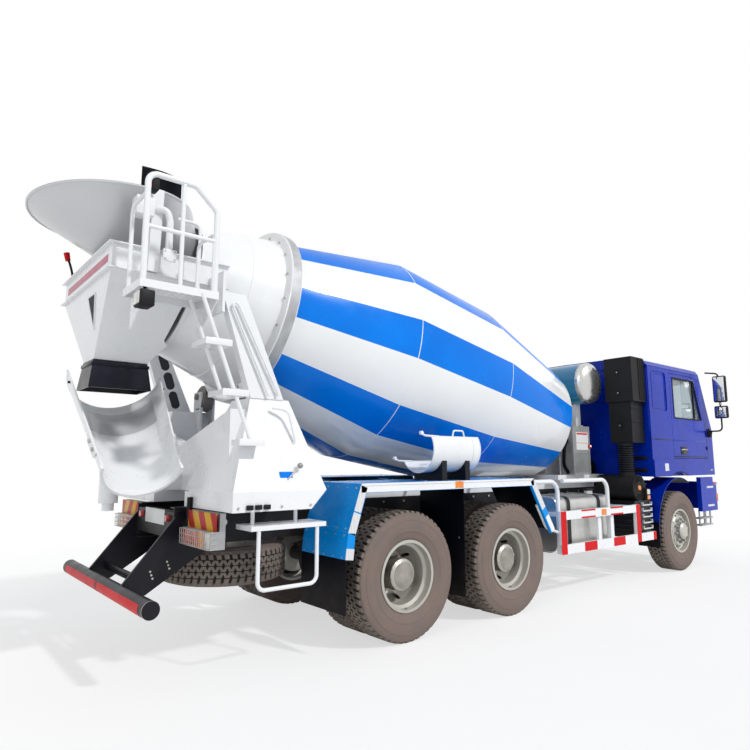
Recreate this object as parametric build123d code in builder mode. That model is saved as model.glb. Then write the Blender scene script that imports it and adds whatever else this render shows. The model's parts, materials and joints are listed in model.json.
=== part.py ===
import os
from math import cos, radians, sin, sqrt

from build123d import *

os.makedirs("parts", exist_ok=True)

# A full-size concrete mixer truck with a tilting cab, a steered axle and two driven axles.
# It stands on level ground. +X points forward, +Y to the driver's left and +Z up.
# The origin lies on the ground under the middle of the whole vehicle's box.
# Lengths are in millimetres and angles in degrees.

# Driving dimensions
wheelbase = 3820            # middle axle to steered axle
bogie_spacing = 1400        # rear axle to middle axle
rear_overhang = 2865        # rear axle to the rear edge of the feed hopper
front_overhang = 1250       # steered axle to the face of the bumper
body_half_width = 1245      # centreline to the outer face of the fenders
tyre_radius = 542
tyre_width = 300
rear_rim_plane = 1207       # centreline to the outer flange of a rear wheel
front_rim_plane = 1180      # centreline to the outer flange of a front wheel
dual_spacing = 350          # between the middles of twin tyres
rail_top = 1150             # ground to the top of the frame rails
rail_depth = 300
rail_width = 85
rail_wall = 10
rail_outer = 425            # centreline to the outer face of a rail
subframe_depth = 120
drum_tilt = 11.07           # the drum's axis rises to the rear
drum_front_ahead = 3249     # rear axle to the middle of the drum's front edge
drum_front_height = 2053    # ground to the same point
plate = 12                  # usual steel plate
sheet = 6                   # usual steel sheet
tube_radius = 21            # usual round tube
running_gap = 0.05          # radial gap of a shaft in its bore
seat_gap = 0.3              # gap between a piece and its seat
moving_gap = 6              # gap round a door or another moving panel
overrun = 40                # how far a cut runs past a face

# Stations along the vehicle
whole_length = rear_overhang + bogie_spacing + wheelbase + front_overhang
rear_x = rear_overhang - whole_length / 2
middle_x = rear_x + bogie_spacing
front_x = middle_x + wheelbase
bumper_x = front_x + front_overhang
axle_z = tyre_radius
rail_bottom = rail_top - rail_depth
subframe_top = rail_top + subframe_depth


def block(x_low, x_high, y_low, y_high, z_low, z_high, mode=Mode.ADD):
    """Adds the box between three pairs of limits to the part being built."""
    with Locations(((x_low + x_high) / 2, (y_low + y_high) / 2, (z_low + z_high) / 2)):
        Box(x_high - x_low, y_high - y_low, z_high - z_low, mode=mode)


def side_plate(points, y_low, y_high, mode=Mode.ADD, rounding=0):
    """Adds a plate whose outline is drawn in X and Z, between two widths."""
    with BuildSketch(Plane.XZ.offset(-y_high)) as outline:
        with BuildLine():
            Polyline(*points, close=True)
        make_face()
        if rounding:
            fillet(outline.vertices(), radius=rounding)
    extrude(outline.sketch, amount=y_high - y_low, mode=mode)


def cross_plate(points, x_low, x_high, mode=Mode.ADD, rounding=0):
    """Adds a plate whose outline is drawn in Y and Z, between two stations."""
    with BuildSketch(Plane.YZ.offset(x_low)) as outline:
        with BuildLine():
            Polyline(*points, close=True)
        make_face()
        if rounding:
            fillet(outline.vertices(), radius=rounding)
    extrude(outline.sketch, amount=x_high - x_low, mode=mode)


def rod(start, end, radius, mode=Mode.ADD):
    """Adds a straight round bar between two points."""
    run = Vector(*end) - Vector(*start)
    with BuildSketch(Plane(origin=start, z_dir=run)) as section:
        Circle(radius)
    extrude(section.sketch, amount=run.length, mode=mode)


def bent_tube(points, bend, radius):
    """Adds a round bar along straight runs joined by arcs."""
    with BuildLine() as path:
        FilletPolyline(*points, radius=bend)
    with BuildSketch(Plane(origin=path.line @ 0, z_dir=path.line % 0)) as section:
        Circle(radius)
    sweep(section.sketch, path=path.line)


def turned(points, origin, direction, x_dir, mode=Mode.ADD):
    """Adds a body turned about an axis; the points are distance from the axis and place along it."""
    spin = Plane(origin=origin, x_dir=x_dir, z_dir=Vector(*x_dir).cross(Vector(*direction)))
    with BuildSketch(spin) as section:
        with BuildLine():
            Polyline(*points, close=True)
        make_face()
    revolve(section.sketch, axis=Axis(origin, direction), mode=mode)


def mirrored_across():
    """Adds the mirror image, left for right, of all that the part being built holds."""
    mirror(about=Plane.XZ)


# Wheels
rim_lip_radius = 299
rim_seat_radius = 286
rim_well_radius = 258
rim_half_width = 127
rim_lip = 13
rim_wall = 12
rim_well_half = 50
rim_slope = 12
disc_wall = 14
nave_radius = 200
hand_hole_radius = 19
hand_hole_count = 10
brake_drum_radius = 205
rear_stub_radius = 60
rear_stub_end = 1090
rear_hub_radius = 135
rear_hub_cap_radius = 105
rear_hub_end = 1150
rear_drum_inner = 602
rear_drum_outer = 790
front_spindle_radius = 40
front_spindle_end = 1185
front_hub_radius = 112
front_hub_cap_radius = 84
front_hub_end = 1232
front_drum_inner = 948
front_drum_outer = 1082
front_disc_face = 1163
hub_wall = 20
rear_outer_rim = rear_rim_plane - rim_half_width
rear_inner_rim = rear_outer_rim - dual_spacing
dual_middle = (rear_outer_rim + rear_inner_rim) / 2
front_rim = front_rim_plane - rim_half_width
rim_bore = rim_well_radius - rim_wall
disc_edge = rim_bore + rim_wall / 2
hand_hole_circle = (nave_radius + rim_bore) / 2

tyre_bead_half = rim_half_width - rim_lip - seat_gap
tyre_bead_radius = rim_seat_radius + seat_gap
# Columns: rise from the bead to the tread, and distance from the middle to the sidewall.
tyre_shares = ((0.14, 0.86), (0.48, 1.00), (0.86, 0.92), (0.95, 0.86), (1.00, 0.74))


def add_tyre(centre, spin):
    """Adds one tyre, given its middle and the direction of its axle."""
    rise = tyre_radius - tyre_bead_radius
    half = tyre_width / 2
    low, bulge, high, shoulder, tread = (
        (tyre_bead_radius + up * rise, out * half) for up, out in tyre_shares
    )
    across = (1, 0, 0)
    with BuildSketch(Plane(origin=centre, x_dir=across, z_dir=Vector(*across).cross(Vector(*spin)))) as section:
        with BuildLine():
            Polyline((tyre_bead_radius, 0), (tyre_bead_radius, tyre_bead_half),
                     (rim_lip_radius + seat_gap, tyre_bead_half), low)
            ThreePointArc(low, bulge, high)
            ThreePointArc(high, shoulder, tread)
            Line(tread, (tyre_radius, 0))
            mirror(about=Plane.XZ)
        make_face()
    revolve(section.sketch, axis=Axis(centre, spin))


def barrel_points(middle, side):
    """Gives the section of a rim's barrel whose middle is that far from the centreline."""
    inner_bore = rim_seat_radius - rim_wall
    half = rim_half_width
    seat_end = rim_well_half + rim_slope
    points = (
        (rim_lip_radius, half), (rim_lip_radius, half - rim_lip), (rim_seat_radius, half - rim_lip),
        (rim_seat_radius, seat_end), (rim_well_radius, rim_well_half), (rim_well_radius, -rim_well_half),
        (rim_seat_radius, -seat_end), (rim_seat_radius, rim_lip - half), (rim_lip_radius, rim_lip - half),
        (rim_lip_radius, -half), (inner_bore, -half), (inner_bore, -seat_end), (rim_bore, -rim_well_half),
        (rim_bore, rim_well_half), (inner_bore, seat_end), (inner_bore, half),
    )
    return [(radius, side * (middle + out)) for radius, out in points]


def outboard(points, side):
    """Turns distances from the centreline into places on one side of the vehicle."""
    return [(radius, side * out) for radius, out in points]


def hand_holes(centre_x, out_low, out_high, side):
    """Cuts the ring of holes in a wheel's disc."""
    face = Plane(origin=(centre_x, side * (out_low + out_high) / 2, axle_z), x_dir=(1, 0, 0), z_dir=(0, side, 0))
    with Locations(face):
        with PolarLocations(hand_hole_circle, hand_hole_count):
            Cylinder(hand_hole_radius, out_high - out_low, mode=Mode.SUBTRACT)


sides = (("right", -1), ("left", 1))
rear_axles_at = (("rear", rear_x), ("middle", middle_x))

for side_name, side in sides:
    for axle_name, axle_x in rear_axles_at:
        with BuildPart() as tyres:
            for tyre_out in (rear_outer_rim, rear_inner_rim):
                add_tyre((axle_x, side * tyre_out, axle_z), (0, 1, 0))
        tyres.part.label = f"{axle_name}_tyres_{side_name}"
        export_step(tyres.part, f"parts/{axle_name}_tyres_{side_name}.step")

        with BuildPart() as rims:
            hub_centre = (axle_x, 0, axle_z)
            for rim_out, towards in ((rear_outer_rim, 1), (rear_inner_rim, -1)):
                turned(barrel_points(rim_out, side), hub_centre, (0, 1, 0), (1, 0, 0))
                root = rim_out - towards * rim_well_half
                disc = (
                    (disc_edge, root + towards * disc_wall), (nave_radius, dual_middle + towards * disc_wall),
                    (rear_hub_radius - hub_wall, dual_middle + towards * disc_wall),
                    (rear_hub_radius - hub_wall, dual_middle), (nave_radius, dual_middle), (disc_edge, root),
                )
                turned(outboard(disc, side), hub_centre, (0, 1, 0), (1, 0, 0))
            hub = (
                (rear_stub_radius + running_gap, rear_drum_inner), (brake_drum_radius, rear_drum_inner),
                (brake_drum_radius, rear_drum_outer), (rear_hub_radius, rear_drum_outer),
                (rear_hub_radius, rear_hub_end - hub_wall), (rear_hub_cap_radius, rear_hub_end),
                (0, rear_hub_end), (0, rear_stub_end + hub_wall / 2),
                (rear_stub_radius + running_gap, rear_stub_end + hub_wall / 2),
            )
            turned(outboard(hub, side), hub_centre, (0, 1, 0), (1, 0, 0))
            hand_holes(axle_x, rear_inner_rim, rear_outer_rim, side)
        rims.part.label = f"{axle_name}_rims_{side_name}"
        export_step(rims.part, f"parts/{axle_name}_rims_{side_name}.step")

    with BuildPart() as front_tyre:
        add_tyre((front_x, side * front_rim, axle_z), (0, 1, 0))
    front_tyre.part.label = f"front_tyre_{side_name}"
    export_step(front_tyre.part, f"parts/front_tyre_{side_name}.step")

    with BuildPart() as front_wheel:
        hub_centre = (front_x, 0, axle_z)
        turned(barrel_points(front_rim, side), hub_centre, (0, 1, 0), (1, 0, 0))
        root = front_rim + rim_well_half
        disc = (
            (disc_edge, root - disc_wall), (disc_edge, root), (nave_radius, front_disc_face),
            (front_hub_radius - hub_wall, front_disc_face),
            (front_hub_radius - hub_wall, front_disc_face - disc_wall), (nave_radius, front_disc_face - disc_wall),
        )
        turned(outboard(disc, side), hub_centre, (0, 1, 0), (1, 0, 0))
        hub = (
            (front_spindle_radius + running_gap, front_drum_inner), (brake_drum_radius, front_drum_inner),
            (brake_drum_radius, front_drum_outer), (front_hub_radius, front_drum_outer),
            (front_hub_radius, front_hub_end - hub_wall), (front_hub_cap_radius, front_hub_end),
            (0, front_hub_end), (0, front_spindle_end + hub_wall / 2),
            (front_spindle_radius + running_gap, front_spindle_end + hub_wall / 2),
        )
        turned(outboard(hub, side), hub_centre, (0, 1, 0), (1, 0, 0))
        hand_holes(front_x, root - disc_wall - hub_wall, front_disc_face + hub_wall, side)
    front_wheel.part.label = f"front_rim_{side_name}"
    export_step(front_wheel.part, f"parts/front_rim_{side_name}.step")

# Steering knuckles on vertical kingpins
kingpin_out = 870
kingpin_radius = 25
eye_radius = 55
eye_height = 110
ear_gap = 1
ear_thickness = 40
ear_top = eye_height / 2 + ear_gap + ear_thickness
web_inner = eye_radius + moving_gap
web_thickness = 14
track_arm_reach = 210
track_arm_thickness = 30

for side_name, side in sides:
    pin_y = side * kingpin_out
    with BuildPart() as knuckle:
        with Locations((front_x, pin_y, axle_z)):
            Cylinder(kingpin_radius, 2 * ear_top)
        for above in (-1, 1):
            with Locations((front_x, pin_y, axle_z + above * (ear_top - ear_thickness / 2))):
                Cylinder(eye_radius, ear_thickness)
            ear_low, ear_high = sorted((above * (ear_top - ear_thickness), above * ear_top))
            web_low, web_high = sorted((pin_y, pin_y + side * (web_inner + web_thickness)))
            block(front_x - eye_radius, front_x + eye_radius, web_low, web_high,
                  axle_z + ear_low, axle_z + ear_high)
        web_low, web_high = sorted((pin_y + side * web_inner, pin_y + side * (web_inner + web_thickness)))
        block(front_x - eye_radius, front_x + eye_radius, web_low, web_high, axle_z - ear_top, axle_z + ear_top)
        rod((front_x, pin_y + side * web_inner, axle_z), (front_x, side * front_spindle_end, axle_z),
            front_spindle_radius)
        arm_low, arm_high = sorted((pin_y, pin_y - side * eye_radius))
        block(front_x - track_arm_reach, front_x, arm_low, arm_high,
              axle_z - ear_top - track_arm_thickness, axle_z - ear_top)
    knuckle.part.label = f"knuckle_{side_name}"
    export_step(knuckle.part, f"parts/knuckle_{side_name}.step")

# Front axle beam with kingpin eyes
beam_half_width = 45
beam_depth = 105
beam_drop = 60
beam_straight = 540
beam_neck = kingpin_out - eye_radius - moving_gap
with BuildPart() as front_axle:
    beam_top = axle_z - beam_drop
    beam_low = beam_top - beam_depth
    half_eye = eye_height / 2
    cross_plate(
        ((-kingpin_out, axle_z + half_eye), (-beam_neck, axle_z + half_eye), (-beam_straight, beam_top),
         (beam_straight, beam_top), (beam_neck, axle_z + half_eye), (kingpin_out, axle_z + half_eye),
         (kingpin_out, axle_z - half_eye), (beam_neck, axle_z - half_eye), (beam_straight, beam_low),
         (-beam_straight, beam_low), (-beam_neck, axle_z - half_eye), (-kingpin_out, axle_z - half_eye)),
        front_x - beam_half_width, front_x + beam_half_width,
    )
    with Locations((front_x, -kingpin_out, axle_z), (front_x, kingpin_out, axle_z)):
        Cylinder(eye_radius, eye_height)
        Cylinder(kingpin_radius + running_gap, eye_height + overrun, mode=Mode.SUBTRACT)
front_axle.part.label = "front_axle"
export_step(front_axle.part, "parts/front_axle.step")

# Driven axles with their final drives and the shafts that turn them
housing_radius = 78
housing_end = 585
final_drive_radius = 215
final_drive_width = 190
shaft_radius = 55
gearbox_end = 1250          # steered axle back to the rear of the gearbox
shaft_height = axle_z + 190
with BuildPart() as rear_axles:
    for axle_x in (rear_x, middle_x):
        rod((axle_x, -housing_end, axle_z), (axle_x, housing_end, axle_z), housing_radius)
        rod((axle_x, -rear_stub_end, axle_z), (axle_x, rear_stub_end, axle_z), rear_stub_radius)
        rod((axle_x, -final_drive_width, axle_z), (axle_x, final_drive_width, axle_z), final_drive_radius)
        rod((axle_x, 0, axle_z), (axle_x + final_drive_radius * 2, 0, shaft_height), shaft_radius * 2)
    rod((rear_x + final_drive_radius * 2, 0, shaft_height), (middle_x, 0, shaft_height), shaft_radius)
    rod((middle_x + final_drive_radius * 2, 0, shaft_height), (front_x - gearbox_end - seat_gap, 0, shaft_height),
        shaft_radius)
rear_axles.part.label = "rear_axles"
export_step(rear_axles.part, "parts/rear_axles.step")

# Frame rails, crossmembers, spring hangers and the bogie's trunnion
rail_rear = 1750            # rear axle back to the end of the rails
rail_front = 1090           # steered axle forward to the end of the rails
member_depth = 200
member_width = 90
member_drop = 40
rear_member = 1700          # rear axle back to the rearmost crossmember
spare_behind = 1120         # rear axle back to the spare wheel and the crossmember that holds it
cooling_member = 2250       # rear axle forward to the member ahead of the bogie
gearbox_member = 3300
member_stations = (-rear_member, -spare_behind, bogie_spacing / 2, cooling_member, gearbox_member)
hanger_half = 45
front_spring_half = 780
rear_spring_out = 500       # centreline to the middle of a rear spring
front_spring_out = 385
spring_half_width = 42
trunnion_radius = 60
trunnion_block = 110
cab_floor_z = 1300
cab_pivot_ahead = 1050      # steered axle forward to the pins that the cab tilts on
cab_pivot_z = 1000
cab_pin_radius = 20
cab_ear_thickness = 30
cab_rest_rear = 760
cab_rest_length = 80
with BuildPart() as frame_rails:
    for side in (-1, 1):
        low, high = sorted((side * (rail_outer - rail_width), side * rail_outer))
        block(rear_x - rail_rear, front_x + rail_front, low, high, rail_bottom, rail_top)
        low, high = sorted((side * (rail_outer - rail_width - overrun), side * (rail_outer - rail_wall)))
        block(rear_x - rail_rear - overrun, front_x + rail_front + overrun, low, high,
              rail_bottom + rail_wall, rail_top - rail_wall, mode=Mode.SUBTRACT)
    web_inner_face = rail_outer - rail_wall
    for station in member_stations:
        block(rear_x + station - member_width / 2, rear_x + station + member_width / 2,
              -web_inner_face, web_inner_face, rail_top - member_drop - member_depth, rail_top - member_drop)
    block(front_x + rail_front - member_width, front_x + rail_front, -web_inner_face, web_inner_face,
          rail_top - member_drop - member_depth, rail_top - member_drop)
    hanger_bottom = axle_z + beam_drop
    for along in (-front_spring_half, front_spring_half):
        for side in (-1, 1):
            low, high = sorted((side * (front_spring_out - spring_half_width), side * rail_outer))
            block(front_x + along - hanger_half, front_x + along + hanger_half, low, high, hanger_bottom, rail_bottom)
    bogie_x = (rear_x + middle_x) / 2
    trunnion_z = axle_z + housing_radius / 2
    for side in (-1, 1):
        low, high = sorted((side * (rail_outer - rail_width), side * rail_outer))
        block(bogie_x - trunnion_block, bogie_x + trunnion_block, low, high,
              trunnion_z - trunnion_radius, rail_bottom)
    trunnion_end = rear_spring_out + spring_half_width
    rod((bogie_x, -trunnion_end, trunnion_z), (bogie_x, trunnion_end, trunnion_z), trunnion_radius)
    for side in (-1, 1):
        pin_root, pin_end = side * (rail_outer - rail_wall), side * (rail_outer + moving_gap * 2 + cab_ear_thickness)
        rod((front_x + cab_pivot_ahead, pin_root, cab_pivot_z), (front_x + cab_pivot_ahead, pin_end, cab_pivot_z),
            cab_pin_radius)
        low, high = sorted((side * (rail_outer - rail_width), side * rail_outer))
        block(front_x - cab_rest_rear, front_x - cab_rest_rear + cab_rest_length, low, high, rail_top,
              cab_floor_z - seat_gap)
frame_rails.part.label = "frame_rails"
export_step(frame_rails.part, "parts/frame_rails.step")

# Leaf springs: the front packs lie on the axle beam, the rear ones ride on the trunnion
front_pack = 95
spring_tip = 22
rear_pack = 130
rear_spring_past = 60       # how far a rear spring reaches past its axle
rear_spring_half = bogie_spacing / 2 + rear_spring_past
with BuildPart() as leaf_springs:
    beam_top = axle_z - beam_drop
    for side in (-1, 1):
        low, high = sorted((side * (front_spring_out - spring_half_width), side * (front_spring_out + spring_half_width)))
        tip = axle_z + beam_drop
        side_plate(
            ((front_x - front_spring_half, tip), (front_x - beam_half_width * 2, beam_top + front_pack),
             (front_x + beam_half_width * 2, beam_top + front_pack), (front_x + front_spring_half, tip),
             (front_x + front_spring_half, tip - spring_tip), (front_x + beam_half_width, beam_top),
             (front_x - beam_half_width, beam_top), (front_x - front_spring_half, tip - spring_tip)),
            low, high,
        )
        low, high = sorted((side * (rear_spring_out - spring_half_width), side * (rear_spring_out + spring_half_width)))
        seat = axle_z + housing_radius
        saddle = trunnion_z + trunnion_radius
        side_plate(
            ((bogie_x - rear_spring_half, seat), (bogie_x - rear_spring_half, seat + spring_tip),
             (bogie_x - trunnion_block, saddle + rear_pack), (bogie_x + trunnion_block, saddle + rear_pack),
             (bogie_x + rear_spring_half, seat + spring_tip), (bogie_x + rear_spring_half, seat),
             (bogie_x + trunnion_block, saddle), (bogie_x - trunnion_block, saddle)),
            low, high,
        )
leaf_springs.part.label = "leaf_springs"
export_step(leaf_springs.part, "parts/leaf_springs.step")

# Engine: one plain block on two cross mounts
engine_back = 560
engine_ahead = 620
engine_half_width = 330
engine_bottom = 600
engine_top = 1270
mount_width = 80
with BuildPart() as engine:
    block(front_x - engine_back, front_x + engine_ahead, -engine_half_width, engine_half_width,
          engine_bottom, engine_top)
    for along in (-engine_back + mount_width, engine_ahead - mount_width * 2):
        block(front_x + along, front_x + along + mount_width, -rail_outer, rail_outer, rail_top, rail_top + plate * 2)
    gearbox_half = engine_half_width * 2 / 3
    block(front_x - gearbox_end, front_x - engine_back, -gearbox_half, gearbox_half,
          engine_bottom + overrun, rail_top - member_drop)
engine.part.label = "engine"
export_step(engine.part, "parts/engine.step")

# White subframe: two long beams, the drum drive's base and pedestal, and the water tank's posts
subframe_width = 80
subframe_rear = 1640        # rear axle back to the end of the beams
subframe_front = 4300       # rear axle forward to the end of the beams
base_rear = 3170
base_front = 4270
base_half_width = 600
base_thickness = 60
drum_cos = cos(radians(drum_tilt))
drum_sin = sin(radians(drum_tilt))
drum_x = rear_x + drum_front_ahead


def on_axis(behind):
    """Gives the point on the drum's axis that far behind its front edge."""
    return (drum_x - behind * drum_cos, 0, drum_front_height + behind * drum_sin)


backward = (-drum_cos, 0, drum_sin)
across_axis = (drum_sin, 0, drum_cos)
head_depth = 225            # the dished head ahead of the drum's front edge
reducer_length = 430
reducer_radius = 245
pedestal_half_width = 280
pedestal_rear = 3480
pedestal_front = 4060
pedestal_wall = 20
tank_ahead = 3850
tank_z = 2560
tank_radius = 283
tank_half_length = 690
tank_dome = 110
post_out = 450
post_half = 55
reducer_start = on_axis(-head_depth - seat_gap)
reducer_end = on_axis(-head_depth - reducer_length)
with BuildPart() as subframe:
    for side in (-1, 1):
        low, high = sorted((side * (rail_outer - subframe_width), side * rail_outer))
        block(rear_x - subframe_rear, rear_x + subframe_front, low, high, rail_top + seat_gap, subframe_top)
    cross_half = rail_outer - subframe_width / 2
    for station in (0, bogie_spacing, base_rear):
        block(rear_x + station, rear_x + station + subframe_width, -cross_half, cross_half,
              rail_top + seat_gap, rail_top + base_thickness)
    base_top = subframe_top + base_thickness
    block(rear_x + base_rear, rear_x + base_front, -base_half_width, base_half_width, subframe_top, base_top)
    saddle_z = reducer_end[2]
    for side in (-1, 1):
        low, high = sorted((side * (pedestal_half_width - pedestal_wall), side * pedestal_half_width))
        side_plate(
            ((rear_x + pedestal_rear - reducer_radius / 2, base_top), (rear_x + pedestal_rear, saddle_z),
             (rear_x + pedestal_front - reducer_radius, saddle_z), (rear_x + pedestal_front, base_top)),
            low, high,
        )
    inner = pedestal_half_width - pedestal_wall
    cross_plate(((-inner, base_top), (-inner, saddle_z), (inner, saddle_z), (inner, base_top)),
                rear_x + pedestal_rear, rear_x + pedestal_rear + pedestal_wall)
    rod(reducer_start, reducer_end, reducer_radius + seat_gap, mode=Mode.SUBTRACT)
    for side in (-1, 1):
        low, high = sorted((side * (post_out - post_half), side * (post_out + post_half)))
        block(rear_x + tank_ahead - post_half, rear_x + tank_ahead + post_half, low, high, base_top, tank_z)
    rod((rear_x + tank_ahead, -body_half_width, tank_z), (rear_x + tank_ahead, body_half_width, tank_z),
        tank_radius + seat_gap, mode=Mode.SUBTRACT)
subframe.part.label = "subframe"
export_step(subframe.part, "parts/subframe.step")

# Drum drive: the reducer and its hydraulic motor on the drum's axis
motor_radius = 120
motor_length = 260
with BuildPart() as drum_drive:
    rod(reducer_start, reducer_end, reducer_radius)
    rod(reducer_end, on_axis(-head_depth - reducer_length - motor_length), motor_radius)
drum_drive.part.label = "drum_drive"
export_step(drum_drive.part, "parts/drum_drive.step")

# Mixing drum: a thin shell of a dished head, three straight-sided courses and a thick track ring
drum_wall = 8
head_flange_radius = 210
drum_front_radius = 788
belly_front_behind = 1605   # distances behind the drum's front edge
belly_front_radius = 1085
belly_rear_behind = 3014
belly_rear_radius = 1102
mouth_behind = 5049
mouth_radius = 576
# Columns: distance behind the front edge, radius.
drum_courses = (
    (0, drum_front_radius),
    (belly_front_behind, belly_front_radius),
    (belly_rear_behind, belly_rear_radius),
    (mouth_behind, mouth_radius),
)
ring_behind = 4279
ring_half_width = 55
ring_radius = 845
mouth_lip = 22
with BuildPart() as drum:
    outer = [(radius, behind) for behind, radius in drum_courses]
    inner = [(radius - drum_wall, behind) for behind, radius in reversed(drum_courses[1:])]
    front_inner = (drum_front_radius - drum_wall, drum_wall)
    outline = (
        [(0, -head_depth), (head_flange_radius, -head_depth)] + outer + inner
        + [front_inner, (head_flange_radius, drum_wall - head_depth), (0, drum_wall - head_depth)]
    )
    turned(outline, on_axis(0), backward, across_axis)
    slope_length = mouth_behind - belly_rear_behind
    slope_drop = belly_rear_radius - mouth_radius
    ring_seat = belly_rear_radius - slope_drop * (ring_behind - belly_rear_behind) / slope_length
    seat_drop = slope_drop * ring_half_width / slope_length
    ring = (
        (ring_seat + seat_drop - drum_wall / 2, ring_behind - ring_half_width),
        (ring_radius, ring_behind - ring_half_width), (ring_radius, ring_behind + ring_half_width),
        (ring_seat - seat_drop - drum_wall / 2, ring_behind + ring_half_width),
    )
    turned(ring, on_axis(0), backward, across_axis)
    lip = (
        (mouth_radius - drum_wall, mouth_behind - mouth_lip), (mouth_radius + mouth_lip, mouth_behind - mouth_lip),
        (mouth_radius + mouth_lip, mouth_behind), (mouth_radius - drum_wall, mouth_behind),
    )
    turned(lip, on_axis(0), backward, across_axis)
drum.part.label = "drum"
export_step(drum.part, "parts/drum.step")

# Support rollers under the track ring
roller_radius = 125
roller_half_width = 50
roller_angle = 38
roller_pin_radius = 30
roller_pin_past = 48
roller_pin_gap = 0.5        # radial gap of the pins in their brackets
roller_pin_end = roller_half_width + roller_pin_past
ring_centre = Vector(*on_axis(ring_behind))
down_axis = Vector(-drum_sin, 0, -drum_cos)
roller_reach = ring_radius + roller_radius + seat_gap


def roller_middle(side):
    """Gives the middle of the roller on one side."""
    turn = radians(roller_angle)
    return ring_centre + down_axis * (roller_reach * cos(turn)) + Vector(0, side * roller_reach * sin(turn), 0)


for side_name, side in sides:
    with BuildPart() as roller:
        centre = roller_middle(side)
        along = Vector(*backward)
        rod(centre - along * roller_half_width, centre + along * roller_half_width, roller_radius)
        rod(centre - along * roller_pin_end, centre + along * roller_pin_end, roller_pin_radius)
    roller.part.label = f"roller_{side_name}"
    export_step(roller.part, f"parts/roller_{side_name}.step")

# Rear support: two tapered pedestals, a cross member with roller brackets, and two leaning columns
skirt_rear = 1640           # rear axle back to the rear of the skirt
skirt_front = 985
skirt_out = 1200
skirt_in = 350
skirt_height = 140
skirt_top_front = 850
shoulder_z = 1990
shoulder_rear = 1400
shoulder_front = 1060
shoulder_out = 950
shoulder_in = 640
cross_rear = 1560
cross_front = 1440
cross_bottom = subframe_top
cross_top = 1900
cross_dip = 1640
column_out = 960
column_in = 880
column_base_rear = 1400
column_base_front = 1110
column_top_rear = 1660
column_top_front = 1470
column_top = 2790
hanger_depth = 160          # the collector's brackets reach this far above and below the columns' tops
collector_half = 700
bracket_wall = 22
chute_behind = 2126         # rear axle back to the post that the chute swings on
chute_post_radius = 45
chute_post_low = 1120
chute_post_top = 1425
sleeve_wall = 28
collar_height = 30
bearing_low = 1180
bearing_beam_half = 70
with BuildPart() as rear_support:
    skirt_z = rail_top + seat_gap
    for side in (-1, 1):
        low, high = sorted((side * rail_outer, side * skirt_out))
        side_plate(
            ((rear_x - skirt_rear, skirt_z), (rear_x - skirt_rear, skirt_z + skirt_height),
             (rear_x - skirt_top_front, skirt_z + skirt_height), (rear_x - skirt_front, skirt_z)),
            low, high,
        )
        with BuildSketch(Plane.XY.offset(skirt_z + skirt_height)) as foot:
            low, high = sorted((side * skirt_in, side * skirt_out))
            with BuildLine():
                Polyline((rear_x - skirt_rear, low), (rear_x - skirt_rear, high), (rear_x - skirt_top_front, high),
                         (rear_x - skirt_top_front, low), close=True)
            make_face()
        with BuildSketch(Plane.XY.offset(shoulder_z)) as shoulder:
            low, high = sorted((side * shoulder_in, side * shoulder_out))
            with BuildLine():
                Polyline((rear_x - shoulder_rear, low), (rear_x - shoulder_rear, high),
                         (rear_x - shoulder_front, high), (rear_x - shoulder_front, low), close=True)
            make_face()
        loft(sections=[foot.sketch.face(), shoulder.sketch.face()])
        low, high = sorted((side * column_in, side * column_out))
        side_plate(
            ((rear_x - column_base_rear, shoulder_z), (rear_x - column_top_rear, column_top),
             (rear_x - column_top_front, column_top), (rear_x - column_base_front, shoulder_z)),
            low, high,
        )
        low, high = sorted((side * (collector_half + seat_gap), side * column_out))
        block(rear_x - column_top_rear, rear_x - column_top_rear + bracket_wall, low, high,
              column_top - hanger_depth, column_top + hanger_depth)
    cross_plate(
        ((-shoulder_out, cross_bottom + seat_gap), (-shoulder_out, cross_top), (0, cross_dip),
         (shoulder_out, cross_top), (shoulder_out, cross_bottom + seat_gap)),
        rear_x - cross_rear, rear_x - cross_front,
    )
    for side in (-1, 1):
        centre = roller_middle(side)
        along = Vector(*backward)
        inner_face = roller_half_width + moving_gap / 2
        for way in (-1, 1):
            face = centre + along * (way * inner_face)
            foot_point = Vector(face.X, face.Y, cross_bottom + skirt_height)
            low, high = sorted((face.X, face.X + way * along.X * bracket_wall))
            block(low, high, face.Y - roller_radius * 2 / 3, face.Y + roller_radius * 2 / 3, foot_point.Z,
                  centre.Z + roller_pin_radius * 2)
        rod(centre - along * (roller_pin_end + overrun), centre + along * (roller_pin_end + overrun),
            roller_pin_radius + roller_pin_gap, mode=Mode.SUBTRACT)
        rod(centre - along * (roller_half_width + moving_gap / 2), centre + along * (roller_half_width + moving_gap / 2),
            roller_radius + moving_gap, mode=Mode.SUBTRACT)
    ring_clearance = ring_half_width + moving_gap
    rod(on_axis(ring_behind - ring_clearance), on_axis(ring_behind + ring_clearance), ring_radius + moving_gap,
        mode=Mode.SUBTRACT)
    post_x = rear_x - chute_behind
    bearing_top = chute_post_top - seat_gap
    block(post_x, rear_x - cross_rear, -bearing_beam_half, bearing_beam_half, subframe_top,
          bearing_top - collar_height)
    rod((post_x, 0, bearing_low), (post_x, 0, bearing_top), chute_post_radius + sleeve_wall)
    rod((post_x, 0, bearing_low - overrun), (post_x, 0, bearing_top + overrun), chute_post_radius + running_gap,
        mode=Mode.SUBTRACT)
rear_support.part.label = "rear_support"
export_step(rear_support.part, "parts/rear_support.step")


def tapered_box(low_level, low_box, high_level, high_box, mode=Mode.ADD):
    """Adds a block between two level rectangles, each given as its limits in X and Y."""
    faces = []
    for level, (x_low, x_high, y_low, y_high) in ((low_level, low_box), (high_level, high_box)):
        with BuildSketch(Plane.XY.offset(level)) as outline:
            with Locations(((x_low + x_high) / 2, (y_low + y_high) / 2)):
                Rectangle(x_high - x_low, y_high - y_low)
        faces.append(outline.sketch.face())
    loft(sections=faces, mode=mode)


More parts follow.
